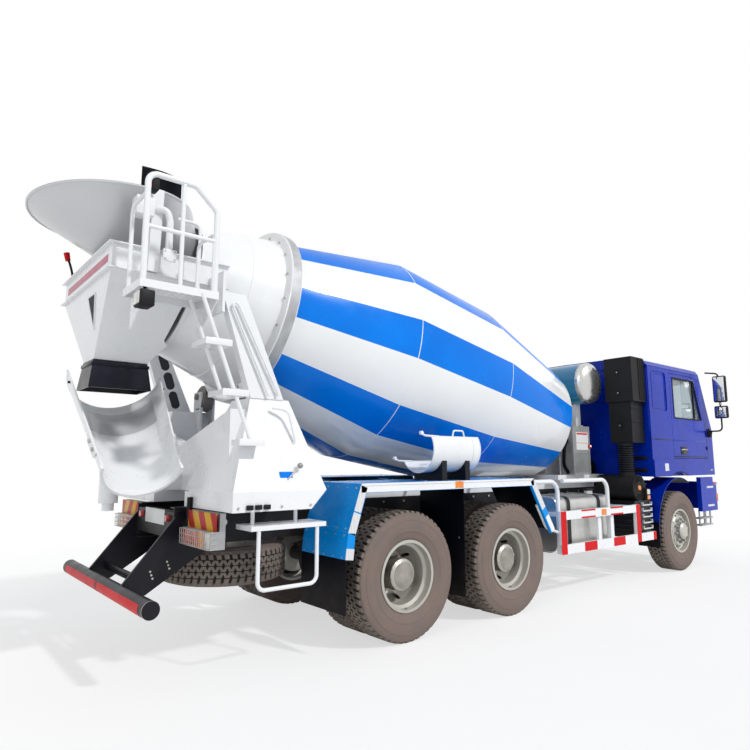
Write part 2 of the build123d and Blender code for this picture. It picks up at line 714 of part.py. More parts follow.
def grown(box, by):
    """Gives a rectangle's limits moved out by a distance on every side."""
    x_low, x_high, y_low, y_high = box
    return (x_low - by, x_high + by, y_low - by, y_high + by)


# Collector: a rim box open towards the drum, and a funnel down to the outlet
collector_rear = 2400
collector_front = 1480
collector_top = 3080
collector_brim = 2890
outlet_rear = 2340
outlet_front = 1930
outlet_half = 145
outlet_z = 2300
mouth_clearance = 45
hopper_rim_z = 3536
hopper_half_width = 775
hopper_rear_reach = 740     # widest place back to the rear of the rim
hopper_front_reach = 500    # and forward to the rim's front, just short of the drum's lip
hopper_centre = rear_x - rear_overhang + hopper_rear_reach
hopper_rim_depth = 14
hopper_arm_width = 60
hopper_arm_length = 80
hopper_arm_root = 180
collector_box = (rear_x - collector_rear, rear_x - collector_front, -collector_half, collector_half)
outlet_box = (rear_x - outlet_rear, rear_x - outlet_front, -outlet_half, outlet_half)
with BuildPart() as collector:
    tapered_box(outlet_z, outlet_box, collector_brim, collector_box)
    block(*collector_box, collector_brim, collector_top)
    tapered_box(outlet_z - overrun, grown(outlet_box, -sheet - overrun / 4), outlet_z,
                grown(outlet_box, -sheet), mode=Mode.SUBTRACT)
    tapered_box(outlet_z, grown(outlet_box, -sheet), collector_brim, grown(collector_box, -sheet),
                mode=Mode.SUBTRACT)
    block(*grown(collector_box, -sheet), collector_brim, collector_top + overrun, mode=Mode.SUBTRACT)
    drum_shadow = (
        (0, mouth_behind + mouth_clearance), (mouth_radius + mouth_lip + mouth_clearance, mouth_behind + mouth_clearance),
        (belly_rear_radius + mouth_clearance, belly_rear_behind), (0, belly_rear_behind),
    )
    turned(drum_shadow, on_axis(0), backward, across_axis, mode=Mode.SUBTRACT)
    arm_top_z = hopper_rim_z - hopper_rim_depth - seat_gap
    for side in (-1, 1):
        arm_points = (
            (collector_half - sheet, collector_top - hopper_arm_root), (collector_half - sheet, collector_top),
            (hopper_half_width - hopper_rim_depth, arm_top_z), (hopper_half_width + hopper_arm_width / 2, arm_top_z),
            (collector_half + hopper_arm_width, collector_top - hopper_arm_root),
        )
        cross_plate([(side * y, z) for y, z in arm_points], hopper_centre - hopper_arm_length / 2,
                    hopper_centre + hopper_arm_length / 2)
collector.part.label = "collector"
export_step(collector.part, "parts/collector.step")

# Rubber boot under the collector's outlet
boot_wall = 10
boot_bottom = 2075
boot_flare = 35
boot_top = outlet_z - seat_gap
boot_top_box = grown(outlet_box, boot_wall / 2)
boot_low_box = grown(outlet_box, boot_flare)
with BuildPart() as boot:
    tapered_box(boot_bottom, boot_low_box, boot_top, boot_top_box)
    tapered_box(boot_bottom - overrun, grown(boot_low_box, -boot_wall), boot_bottom,
                grown(boot_low_box, -boot_wall), mode=Mode.SUBTRACT)
    tapered_box(boot_bottom, grown(boot_low_box, -boot_wall), boot_top, grown(boot_top_box, -boot_wall),
                mode=Mode.SUBTRACT)
boot.part.label = "collector_boot"
export_step(boot.part, "parts/collector_boot.step")

# Feed hopper: an oblique funnel from a level rim to a throat inside the drum's mouth
hopper_wall = 6
throat_radius = 215
throat_inside = 120         # how far the throat reaches past the drum's mouth
throat_raise = 40
throat_tilt = 52
throat_centre = Vector(*on_axis(mouth_behind - throat_inside)) + Vector(0, 0, throat_raise)
throat_dir = Vector(-sin(radians(throat_tilt)), 0, cos(radians(throat_tilt)))


def half_oval(plane, width, ahead, behind):
    """Gives the left half of an oval whose two ends reach differently far from its widest place."""
    with BuildSketch(plane) as half:
        with BuildLine():
            EllipticalCenterArc((0, 0), width, ahead, start_angle=-90, arc_size=90)
            EllipticalCenterArc((0, 0), width, behind, start_angle=0, arc_size=90)
            Line((0, behind), (0, -ahead))
        make_face()
    return half.sketch.face()


def half_rim(inset, level):
    """Gives the left half of the rim's outline at one level, moved in by a distance."""
    plane = Plane(origin=(hopper_centre, 0, level), x_dir=(0, 1, 0), z_dir=(0, 0, 1))
    return half_oval(plane, hopper_half_width - inset, hopper_front_reach - inset, hopper_rear_reach - inset)


def hopper_faces(inset, past):
    """Gives half the funnel's throat and rim outlines, moved in by a wall and stretched past each end."""
    plane = Plane(origin=throat_centre - throat_dir * past, x_dir=(0, 1, 0), z_dir=throat_dir)
    radius = throat_radius - inset
    return [half_oval(plane, radius, radius, radius), half_rim(inset, hopper_rim_z + past)]


with BuildPart() as hopper:
    loft(sections=hopper_faces(0, 0))
    extrude(half_rim(0, hopper_rim_z - hopper_rim_depth), amount=hopper_rim_depth)
    loft(sections=hopper_faces(hopper_wall, seat_gap), mode=Mode.SUBTRACT)
    mirrored_across()
hopper.part.label = "feed_hopper"
export_step(hopper.part, "parts/feed_hopper.step")

# Work platform with its gusset and handrails, the ladder up to it and the low step below
platform_rear = 2350
platform_front = 1800
platform_out = 1200
platform_in = 850
platform_z = 2700
platform_rim = 55
gusset_drop = 280
tread_count = 3
tread_low_behind = 1510     # rear axle back to the lowest tread
tread_low_z = 1660
tread_back = 140            # each tread lies this much further back and up
tread_rise = 350
tread_half = 100
tread_out = 1215
tread_in = 965
tread_depth = 40
ladder_top_behind = 1920
stringer_radius = 15
stringer_inset = 20         # tread's edge to the stringer's middle
post_inset = 24             # platform's edge to the post's middle
rail_height = 3450
rail_low = 3300
rail_bend = 70
outer_post = platform_out - post_inset
inner_post = platform_in + post_inset
step_rear = 1490
step_front = 850
step_in = 960
step_low = 1015
step_high = 1050
step_tube_bottom = 600
step_tube_bend = 60
step_tube_inset = 70
with BuildPart() as ladder:
    block(rear_x - platform_rear, rear_x - platform_front, -platform_out, -platform_in,
          platform_z - platform_rim, platform_z)
    block(rear_x - platform_rear + sheet, rear_x - platform_front - sheet, -platform_out + sheet,
          -platform_in - sheet, platform_z - platform_rim - overrun, platform_z - sheet, mode=Mode.SUBTRACT)
    cross_plate(
        ((-platform_in, platform_z - platform_rim), (-platform_out, platform_z - platform_rim),
         (-platform_in, platform_z - gusset_drop)),
        rear_x - platform_rear + platform_rim, rear_x - platform_rear + platform_rim + plate,
    )
    cross_plate(
        ((-platform_in, platform_z - platform_rim), (-platform_out, platform_z - platform_rim),
         (-platform_in, platform_z - gusset_drop)),
        rear_x - platform_front - plate, rear_x - platform_front,
    )
    block(rear_x - platform_rear, rear_x - column_top_rear - seat_gap, -platform_in, -platform_in + plate,
          platform_z - platform_rim, platform_z)
    pedestal_low = skirt_z + skirt_height
    for step in range(tread_count):
        behind = tread_low_behind + step * tread_back
        height = tread_low_z + step * tread_rise
        climb = (height - tread_depth - pedestal_low) / (shoulder_z - pedestal_low)
        clear_of_pedestal = skirt_out + (shoulder_out - skirt_out) * climb + seat_gap
        block(rear_x - behind - tread_half, rear_x - behind + tread_half, -tread_out,
              -max(tread_in, clear_of_pedestal), height - tread_depth, height)
    for out, first in ((tread_out - stringer_inset, 0), (tread_in + stringer_inset, 1)):
        rod((rear_x - tread_low_behind - first * tread_back, -out, tread_low_z + first * tread_rise - tread_depth / 2),
            (rear_x - ladder_top_behind, -out, platform_z - platform_rim / 2), stringer_radius)
    rear_rail = rear_x - platform_rear + post_inset
    front_rail = rear_x - platform_front - post_inset
    foot_z = platform_z - sheet / 2
    bent_tube(((rear_rail, -outer_post, foot_z), (rear_rail, -outer_post, rail_height),
               (rear_x - ladder_top_behind - rail_bend, -outer_post, rail_height),
               (front_rail, -outer_post, rail_low), (front_rail, -outer_post, foot_z)), rail_bend, tube_radius)
    cross_rail = rail_height - rail_bend * 2
    bent_tube(((rear_rail, -outer_post, cross_rail), (rear_rail, -inner_post, cross_rail),
               (rear_rail, -inner_post, foot_z)), rail_bend, stringer_radius)
    mid_rail = (platform_z + rail_height) / 2
    rod((rear_rail, -outer_post, mid_rail), (front_rail, -outer_post, mid_rail), stringer_radius)
    middle_post = (rear_rail + front_rail) / 2
    rod((middle_post, -outer_post, foot_z), (middle_post, -outer_post, rail_height), stringer_radius)
    block(rear_x - step_rear, rear_x - step_front, -skirt_out, -step_in, step_low, step_high)
    step_y = -(skirt_out + step_in) / 2
    for along in (-step_rear + step_tube_inset, -skirt_front - step_tube_inset):
        rod((rear_x + along, step_y, step_high - stringer_radius), (rear_x + along, step_y, rail_top),
            stringer_radius)
    bent_tube(
        ((rear_x - step_rear + step_tube_inset, -skirt_out + stringer_inset, step_low),
         (rear_x - step_rear + step_tube_inset, -skirt_out + stringer_inset, step_tube_bottom),
         (rear_x - step_front - step_tube_inset, -skirt_out + stringer_inset, step_tube_bottom),
         (rear_x - step_front - step_tube_inset, -skirt_out + stringer_inset, step_low)),
        step_tube_bend, stringer_radius,
    )
ladder.part.label = "ladder_and_platform"
export_step(ladder.part, "parts/ladder_and_platform.step")

# Rear fenders over both driven axles
fender_sheet = 10
fender_flange = 75
fender_flange_width = 30
fender_in = 620
fender_bracket_radius = 24
fender_tip_behind = 697     # distances behind or ahead of the rear axle, and heights above ground
fender_tip_z = 748
fender_bend_behind = 671
fender_bend_z = 949
fender_top_behind = 539
fender_top_z = 1329
fender_top_ahead = 1758
fender_nose_ahead = 2097
fender_nose_z = 790
# Columns: distance ahead of the rear axle, height above ground.
fender_outline = (
    (-fender_tip_behind, fender_tip_z), (-fender_bend_behind, fender_bend_z), (-fender_top_behind, fender_top_z),
    (fender_top_ahead, fender_top_z), (fender_nose_ahead, fender_nose_z),
)


def inset_outline(points, by):
    """Gives an open outline moved down and in by a distance, for the underside of a bent sheet."""
    moved = []
    for index, (along, height) in enumerate(points):
        before = Vector(*points[max(index - 1, 0)])
        after = Vector(*points[min(index + 1, len(points) - 1)])
        here = Vector(along, height)
        runs = [run.normalized() for run in (here - before, after - here) if run.length > 0]
        normals = [Vector(run.Y, -run.X) for run in runs]
        bisector = sum(normals, Vector(0, 0)).normalized()
        reach = by / bisector.dot(normals[0])
        moved.append((along + bisector.X * reach, height + bisector.Y * reach))
    return moved


with BuildPart() as fenders:
    outer_edge = [(rear_x + along, height) for along, height in fender_outline]
    for depth, out_low, out_high in (
        (fender_sheet, fender_in, body_half_width - fender_flange_width),
        (fender_flange, body_half_width - fender_flange_width, body_half_width),
    ):
        inner_edge = inset_outline(outer_edge, depth)
        side_plate(outer_edge + inner_edge[::-1], -out_high, -out_low)
    bracket_z = fender_top_z - fender_sheet - fender_bracket_radius
    for along in (-fender_top_behind + fender_flange, bogie_spacing / 2, fender_top_ahead - fender_flange):
        rod((rear_x + along, -rail_outer, subframe_top - fender_bracket_radius - fender_sheet),
            (rear_x + along, -body_half_width + fender_flange_width, bracket_z), fender_bracket_radius)
    block(rear_x - fender_top_behind, rear_x + fender_top_ahead, -rail_outer - seat_gap, rail_outer,
          rail_top, fender_top_z, mode=Mode.SUBTRACT)
    mirrored_across()
fenders.part.label = "rear_fenders"
export_step(fenders.part, "parts/rear_fenders.step")

# Side guards between the axles
guard_out = 1235
guard_thickness = 30
guard_upper_rear = 2230
guard_upper_front = 3990
guard_upper_low = 866
guard_upper_high = 960
guard_lower_rear = 2280
guard_lower_front = 4380
guard_lower_low = 500
guard_lower_high = 600
guard_post_width = 70
guard_bar_radius = 24
# Each upright's place along the upper bar, as a share of its length.
guard_post_shares = (0.04, 0.477, 0.636, 0.98)
hoop_top = 1285
hoop_bend = 130
rear_hoop_reach = 450
front_hoop_reach = 950
guard_bar_bite_share = 0.67 # how much of a tube's radius stands clear of the upright it is welded to
with BuildPart() as guards:
    block(rear_x + guard_upper_rear, rear_x + guard_upper_front, -guard_out, -guard_out + guard_thickness,
          guard_upper_low, guard_upper_high)
    block(rear_x + guard_lower_rear, rear_x + guard_lower_front, -guard_out, -guard_out + guard_thickness,
          guard_lower_low, guard_lower_high)
    guard_posts = [guard_upper_rear + share * (guard_upper_front - guard_upper_rear) for share in guard_post_shares]
    for along in guard_posts:
        block(rear_x + along - guard_post_width / 2, rear_x + along + guard_post_width / 2,
              -guard_out + guard_thickness, -guard_out + guard_thickness * 2, guard_lower_low, guard_upper_high)
    tube_y = -guard_out + guard_thickness * 2 + guard_bar_radius * guard_bar_bite_share
    strut_z = rail_bottom + guard_post_width
    for along in (guard_posts[0], guard_posts[3]):
        rod((rear_x + along, -guard_out + guard_thickness, strut_z), (rear_x + along, -rail_outer - seat_gap, strut_z),
            guard_bar_radius)
    for along, reach in ((guard_posts[0], rear_hoop_reach), (guard_posts[2], front_hoop_reach)):
        bent_tube(((rear_x + along, tube_y, guard_lower_low), (rear_x + along, tube_y, hoop_top),
                   (rear_x + along - reach, tube_y, hoop_top)), hoop_bend, guard_bar_radius)
    mirrored_across()
guards.part.label = "side_guards"
export_step(guards.part, "parts/side_guards.step")

# Spare wheel lying flat under the rear of the frame
spare_z = 650
spare_post_radius = 25
spare_plate_radius = 110
spare_centre = (rear_x - spare_behind, 0, spare_z)
with BuildPart() as spare_tyre:
    add_tyre(spare_centre, (0, 0, 1))
spare_tyre.part.label = "spare_tyre"
export_step(spare_tyre.part, "parts/spare_tyre.step")

with BuildPart() as spare_rim:
    turned(barrel_points(0, 1), spare_centre, (0, 0, 1), (1, 0, 0))
    spare_disc = (
        (disc_edge, rim_well_half - disc_wall), (disc_edge, rim_well_half), (0, rim_well_half),
        (0, rim_well_half - disc_wall),
    )
    turned(spare_disc, spare_centre, (0, 0, 1), (1, 0, 0))
    with Locations((spare_centre[0], 0, spare_z + rim_well_half - disc_wall / 2)):
        with PolarLocations(hand_hole_circle - hand_hole_radius, hand_hole_count):
            Cylinder(hand_hole_radius, disc_wall * 2, mode=Mode.SUBTRACT)
    rod((spare_centre[0], 0, spare_z + rim_well_half - disc_wall),
        (spare_centre[0], 0, rail_top - member_drop - member_depth - seat_gap), spare_post_radius)
    rod((spare_centre[0], 0, spare_z + rim_well_half - disc_wall * 2),
        (spare_centre[0], 0, spare_z + rim_well_half), spare_plate_radius)
spare_rim.part.label = "spare_rim"
export_step(spare_rim.part, "parts/spare_rim.step")

# Rear underrun bar on two plate arms
underrun_behind = 2120
underrun_z = 553
underrun_radius = 60
underrun_half = 1060
arm_thickness = 22
arm_root_front = 1400
arm_root_rear = 1710
arm_root_top = 1120
arm_root_bottom = 865
arm_heel = 1950
with BuildPart() as underrun:
    rod((rear_x - underrun_behind, -underrun_half, underrun_z), (rear_x - underrun_behind, underrun_half, underrun_z),
        underrun_radius)
    side_plate(
        ((rear_x - arm_root_front, arm_root_top), (rear_x - arm_root_rear, arm_root_top),
         (rear_x - underrun_behind - underrun_radius / 2, underrun_z + underrun_radius / 2),
         (rear_x - underrun_behind, underrun_z - underrun_radius / 2),
         (rear_x - arm_heel, underrun_z - underrun_radius / 2), (rear_x - arm_root_front, arm_root_bottom)),
        -rail_outer - arm_thickness, -rail_outer,
    )
    mirrored_across()
underrun.part.label = "underrun_bar"
export_step(underrun.part, "parts/underrun_bar.step")

# Tail lamps and warning boards on stub bars from the frame
lamp_behind = 1620
lamp_bar_radius = 24
board_in = 560
board_out = 1060
board_low = 1015
board_high = 1140
board_thickness = 20
lamp_low = 890
lamp_depth = 110
with BuildPart() as tail_lamps:
    lamp_x = rear_x - lamp_behind
    rod((lamp_x, -rail_outer - arm_thickness - seat_gap, (board_low + board_high) / 2),
        (lamp_x, -board_out + lamp_bar_radius, (board_low + board_high) / 2), lamp_bar_radius)
    block(lamp_x - lamp_bar_radius - board_thickness, lamp_x, -board_out, -board_in, board_low, board_high)
    block(lamp_x - lamp_depth, lamp_x, -board_out, -board_in, lamp_low, board_low)
    mirrored_across()
tail_lamps.part.label = "tail_lamps"
export_step(tail_lamps.part, "parts/tail_lamps.step")

# Spare length of chute carried over the right fender
extension_rear = 320
extension_front = 965
extension_radius = 218
extension_wall = 5
extension_out = 995
extension_rise = 73         # fender to the underside of the trough
extension_turn = 32         # the open side leans in towards the drum
extension_z = fender_top_z + extension_radius + extension_rise
cradle_half = 30
cradle_half_length = 110
with BuildPart() as extension:
    with BuildSketch(Plane(origin=(rear_x + extension_rear, -extension_out, extension_z), x_dir=(0, 1, 0),
                           z_dir=(1, 0, 0))) as trough_end:
        Circle(extension_radius)
        Circle(extension_radius - extension_wall, mode=Mode.SUBTRACT)
        Rectangle(extension_radius * 3, extension_radius * 2, rotation=-extension_turn,
                  align=(Align.CENTER, Align.MIN), mode=Mode.SUBTRACT)
    extrude(trough_end.sketch, amount=extension_front - extension_rear)
    for along in (extension_rear + cradle_half_length * 3 / 2, extension_front - cradle_half_length * 3 / 2):
        block(rear_x + along - cradle_half, rear_x + along + cradle_half,
              -extension_out - cradle_half_length, -extension_out + cradle_half_length,
              fender_top_z + seat_gap, extension_z - extension_radius * 3 / 4)
    rod((rear_x + extension_rear - overrun, -extension_out, extension_z),
        (rear_x + extension_front + overrun, -extension_out, extension_z), extension_radius - extension_wall,
        mode=Mode.SUBTRACT)
extension.part.label = "extension_chute"
export_step(extension.part, "parts/extension_chute.step")

# Fuel tank with its brackets and straps
tank_rear = 2350
tank_front = 3450
tank_out = 1105
tank_in = 520
tank_low = 500
tank_high = 1100
tank_rounding = 90
strap_width = 70
strap_thickness = 6
strap_inset = 230
with BuildPart() as fuel_tank:
    cross_plate(((-tank_out, tank_low), (-tank_out, tank_high), (-tank_in, tank_high), (-tank_in, tank_low)),
                rear_x + tank_rear, rear_x + tank_front, rounding=tank_rounding)
    for along in (tank_rear + strap_inset, tank_front - strap_inset):
        cross_plate(
            ((-tank_out - strap_thickness, tank_low - strap_thickness),
             (-tank_out - strap_thickness, tank_high + strap_thickness),
             (-tank_in + strap_thickness, tank_high + strap_thickness),
             (-tank_in + strap_thickness, tank_low - strap_thickness)),
            rear_x + along - strap_width / 2, rear_x + along + strap_width / 2, rounding=tank_rounding,
        )
        block(rear_x + along - strap_width / 2, rear_x + along + strap_width / 2, -tank_in - tank_rounding,
              -rail_outer - seat_gap, tank_low + tank_rounding, rail_top - member_drop)
fuel_tank.part.label = "fuel_tank"
export_step(fuel_tank.part, "parts/fuel_tank.step")

# Air tanks on the left of the frame
air_tank_radius = 140
air_tank_length = 950
air_tank_rear = 2420
air_tank_out = 580
air_tank_z = 800
air_tank_gap = 30
with BuildPart() as air_tanks:
    for place in (0, 1):
        out = air_tank_out + place * (2 * air_tank_radius + air_tank_gap)
        rod((rear_x + air_tank_rear, out, air_tank_z), (rear_x + air_tank_rear + air_tank_length, out, air_tank_z),
            air_tank_radius)
    for along in (air_tank_rear + strap_inset, air_tank_rear + air_tank_length - strap_inset):
        block(rear_x + along - strap_width / 2, rear_x + along + strap_width / 2, rail_outer + seat_gap,
              air_tank_out + 2 * air_tank_radius, air_tank_z + air_tank_radius - plate * 2,
              air_tank_z + air_tank_radius + plate)
air_tanks.part.label = "air_tanks"
export_step(air_tanks.part, "parts/air_tanks.step")

# Air filter, and the battery box that carries it
filter_ahead = 4170
filter_z = 1160
filter_radius = 165
filter_out = 1150
filter_in = 620
battery_rear = 4020
battery_front = 4420
battery_out = 1150
battery_low = 580
battery_top = filter_z - filter_radius - seat_gap
intake_radius = 95
intake_out = 990
duct_low = 1750
with BuildPart() as battery_box:
    block(rear_x + battery_rear, rear_x + battery_front, -battery_out, -rail_outer - seat_gap, battery_low, battery_top)
battery_box.part.label = "battery_box"
export_step(battery_box.part, "parts/battery_box.step")

with BuildPart() as air_filter:
    rod((rear_x + filter_ahead, -filter_out, filter_z), (rear_x + filter_ahead, -filter_in, filter_z), filter_radius)
    rod((rear_x + filter_ahead, -intake_out, filter_z), (rear_x + filter_ahead, -intake_out, duct_low - moving_gap),
        intake_radius)
air_filter.part.label = "air_filter"
export_step(air_filter.part, "parts/air_filter.step")

# Oil cooler on the drum drive's base
cooler_rear = 3400
cooler_front = 3780
cooler_out = 690
cooler_in = 500
cooler_top = 1965
with BuildPart() as oil_cooler:
    block(rear_x + cooler_rear, rear_x + cooler_front, -cooler_out, -cooler_in, base_top + seat_gap, cooler_top)
oil_cooler.part.label = "oil_cooler"
export_step(oil_cooler.part, "parts/oil_cooler.step")

# Water tank across the vehicle behind the cab
with BuildPart() as water_tank:
    dome_shoulder = tank_radius * 3 / 4
    turned(
        ((0, -tank_half_length - tank_dome), (dome_shoulder, -tank_half_length - tank_dome / 2),
         (tank_radius, -tank_half_length), (tank_radius, tank_half_length),
         (dome_shoulder, tank_half_length + tank_dome / 2), (0, tank_half_length + tank_dome)),
        (rear_x + tank_ahead, 0, tank_z), (0, 1, 0), (1, 0, 0),
    )
water_tank.part.label = "water_tank"
export_step(water_tank.part, "parts/water_tank.step")

# Mudguards round the rear of the front wheels
guard_centre_rise = 70
guard_radius = 660
guard_wall = 8
guard_in = 900
guard_from = 62
guard_to = 186
mudguard_bracket = 25
with BuildPart() as mudguards:
    with BuildSketch(Plane.XZ.offset(guard_in)) as arch:
        with Locations((front_x, axle_z + guard_centre_rise)):
            Circle(guard_radius + guard_wall)
            Circle(guard_radius, mode=Mode.SUBTRACT)
        arch_centre = (front_x, axle_z + guard_centre_rise)
        wedge = [arch_centre]
        for angle in (guard_from, (guard_from + guard_to) / 2, guard_to):
            wedge.append((arch_centre[0] + 2 * guard_radius * cos(radians(angle)),
                          arch_centre[1] + 2 * guard_radius * sin(radians(angle))))
        with BuildLine():
            Polyline(*wedge, close=True)
        make_face(mode=Mode.INTERSECT)
    extrude(arch.sketch, amount=skirt_out - guard_in)
    bracket_z = rail_top - member_depth
    bracket_rise = bracket_z - arch_centre[1]
    bracket_x = front_x - sqrt((guard_radius + guard_wall / 2) ** 2 - bracket_rise ** 2)
    rod((bracket_x, -rail_outer - seat_gap, bracket_z), (bracket_x, -skirt_out + mudguard_bracket * 2, bracket_z),
        mudguard_bracket)
    mirrored_across()
mudguards.part.label = "front_mudguards"
export_step(mudguards.part, "parts/front_mudguards.step")

# Rubber flaps behind the wheels, and the one standing on the hopper's right front rim
mud_thickness = 10
rear_mud_bottom = 330
front_mud_top = 700
front_mud_bottom = 370
flap_height = 150
flap_thickness = 14
flap_from = 286             # directions of the flap's ends, counted from straight ahead
flap_to = 261
with BuildPart() as flaps:
    low_x = rear_x - fender_tip_behind
    end_drop = mud_thickness * (fender_tip_behind - fender_bend_behind) / (fender_bend_z - fender_tip_z)
    block(low_x, low_x + mud_thickness, -body_half_width, -fender_in, rear_mud_bottom,
          fender_tip_z - end_drop - seat_gap)
    front_flap_x = front_x - guard_radius - guard_wall - seat_gap
    block(front_flap_x - mud_thickness, front_flap_x, -skirt_out, -guard_in, front_mud_bottom, front_mud_top)
    mirrored_across()
    with BuildSketch(Plane.XY.offset(hopper_rim_z + seat_gap)) as band:
        add(half_rim(0, hopper_rim_z + seat_gap))
        add(half_rim(flap_thickness, hopper_rim_z + seat_gap), mode=Mode.SUBTRACT)
        mirror(about=Plane.XZ)
        wedge_reach = hopper_half_width * 2
        with BuildLine():
            Polyline(
                (hopper_centre, 0),
                (hopper_centre + wedge_reach * cos(radians(flap_from)), wedge_reach * sin(radians(flap_from))),
                (hopper_centre + wedge_reach * cos(radians(flap_to)), wedge_reach * sin(radians(flap_to))),
                close=True,
            )
        make_face(mode=Mode.INTERSECT)
    extrude(band.sketch, amount=flap_height)
flaps.part.label = "rubber_flaps"
export_step(flaps.part, "parts/rubber_flaps.step")

# Bumper with its side returns
bumper_low = 775
bumper_high = 1190
bumper_return = 650         # how far the returns reach back from the face
return_high = 1270
return_front = 220
bumper_wall = 60
bumper_rounding = 130
with BuildPart() as bumper:
    with BuildSketch(Plane.XY.offset(bumper_low)) as plan:
        with BuildLine():
            Polyline(
                (bumper_x, -body_half_width), (bumper_x, body_half_width),
                (bumper_x - bumper_return, body_half_width),
                (bumper_x - bumper_return, body_half_width - bumper_wall),
                (bumper_x - bumper_wall, body_half_width - bumper_wall),
                (bumper_x - bumper_wall, bumper_wall - body_half_width),
                (bumper_x - bumper_return, bumper_wall - body_half_width),
                (bumper_x - bumper_return, -body_half_width), close=True,
            )
        make_face()
        fillet(plan.vertices().sort_by(Axis.X)[-2:], radius=bumper_rounding)
    extrude(plan.sketch, amount=bumper_high - bumper_low)
    for side in (-1, 1):
        low, high = sorted((side * (body_half_width - bumper_wall), side * body_half_width))
        block(bumper_x - bumper_return, bumper_x - return_front, low, high, bumper_high, return_high)
        low, high = sorted((side * (rail_outer - rail_width), side * rail_outer))
        block(front_x + rail_front + seat_gap, bumper_x - bumper_wall, low, high, rail_bottom + overrun,
              bumper_high - overrun)
bumper.part.label = "front_bumper"
export_step(bumper.part, "parts/front_bumper.step")

# Tilting cab: floor, back wall, side walls, front, roof and glass, each as thick as the real panel
cab_back = 780              # steered axle back to the rear wall
cab_ahead = 1185            # steered axle forward to the front panel
cab_half = 1225
cab_wall = 55
cab_floor_thickness = 50
cab_belt = 1980
cab_edge = 2810
cab_crown = 2960
screen_top_back = 345       # how far the screen's top leans back from its base
door_rear_ahead = -150      # steered axle to the rear edge of the door
door_sill = 1545
door_head = 2760
door_hinge_ahead = 975
door_lean = 290
quarter_rear = 80
quarter_front = 520
quarter_low = 2200
quarter_high = 2750
quarter_depth = 12
panel_rounding = 60
arch_back = 40
arch_z = 700
arch_radius = 660
flare_out = 20
flare_top = 1528
flare_front_ahead = 330
window_sill = 2120
window_head = 2700
window_rear_inset = 90
window_front_inset = 80
glass_thickness = 6
cab_rear_x = front_x - cab_back
cab_front_x = front_x + cab_ahead
door_rear_x = front_x + door_rear_ahead
door_front_x = front_x + door_hinge_ahead
screen_lean = screen_top_back / (cab_edge - cab_belt)


def door_outline(gap):
    """Gives the door's outline, moved in by a gap, in X and Z."""
    lean = door_lean / (door_head - cab_belt)
    top_front = door_front_x - door_lean
    return (
        (door_rear_x + gap, door_sill + gap), (door_rear_x + gap, door_head - gap),
        (top_front - gap + lean * gap, door_head - gap), (door_front_x - gap, cab_belt),
        (door_front_x - gap, door_sill + gap),
    )


ear_radius = 38
ear_back = 230              # the hinge ears lean back so that they clear the bumper when the cab tilts
ear_root = 110
rib_count = 6
rib_height = 45
rib_depth = 14
rib_half_width = 760
wall_inner = cab_half - cab_wall
floor_top = cab_floor_z + cab_floor_thickness
with BuildPart() as cab_tub:
    block(cab_rear_x, cab_front_x - cab_wall, -wall_inner, wall_inner, cab_floor_z, floor_top)
    block(cab_rear_x, cab_rear_x + cab_wall, -wall_inner, wall_inner, cab_floor_z, cab_edge)
    rib_pitch = (cab_edge - floor_top) / (rib_count + 2)
    for index in range(rib_count):
        rib_z = floor_top + rib_pitch * (index + 3 / 2)
        block(cab_rear_x - rib_depth, cab_rear_x, -rib_half_width, rib_half_width, rib_z, rib_z + rib_height)
    pivot_x = front_x + cab_pivot_ahead
    for side in (-1, 1):
        low, high = sorted((side * (rail_outer + moving_gap), side * (rail_outer + moving_gap + cab_ear_thickness)))
        side_plate(
            ((pivot_x - ear_radius, cab_pivot_z), (pivot_x - ear_back, cab_floor_z),
             (pivot_x - ear_back + ear_root, cab_floor_z), (pivot_x + ear_radius, cab_pivot_z)),
            low, high,
        )
        rod((pivot_x, low, cab_pivot_z), (pivot_x, high, cab_pivot_z), ear_radius)
        rod((pivot_x, low - overrun, cab_pivot_z), (pivot_x, high + overrun, cab_pivot_z),
            cab_pin_radius + running_gap, mode=Mode.SUBTRACT)
cab_tub.part.label = "cab_tub"
export_step(cab_tub.part, "parts/cab_tub.step")

with BuildPart() as side_walls:
    side_plate(
        ((cab_rear_x, cab_floor_z), (cab_rear_x, cab_edge), (cab_front_x - screen_top_back, cab_edge),
         (cab_front_x, cab_belt), (cab_front_x, cab_floor_z)),
        -cab_half, -cab_half + cab_wall,
    )
    side_plate(
        ((cab_rear_x + quarter_rear, quarter_low), (cab_rear_x + quarter_rear, quarter_high),
         (cab_rear_x + quarter_front, quarter_high), (cab_rear_x + quarter_front, quarter_low)),
        -cab_half - overrun, -cab_half + quarter_depth, mode=Mode.SUBTRACT, rounding=panel_rounding,
    )
    side_plate(
        ((cab_rear_x, cab_floor_z), (cab_rear_x, flare_top), (front_x + flare_front_ahead, flare_top),
         (front_x + flare_front_ahead, cab_floor_z)),
        -cab_half - flare_out, -cab_half,
    )
    side_plate(door_outline(0), -cab_half - overrun, -cab_half + cab_wall + overrun, mode=Mode.SUBTRACT)
    rod((front_x - arch_back, -body_half_width - overrun, arch_z), (front_x - arch_back, 0, arch_z), arch_radius,
        mode=Mode.SUBTRACT)
    mirrored_across()
side_walls.part.label = "cab_side_walls"
export_step(side_walls.part, "parts/cab_side_walls.step")

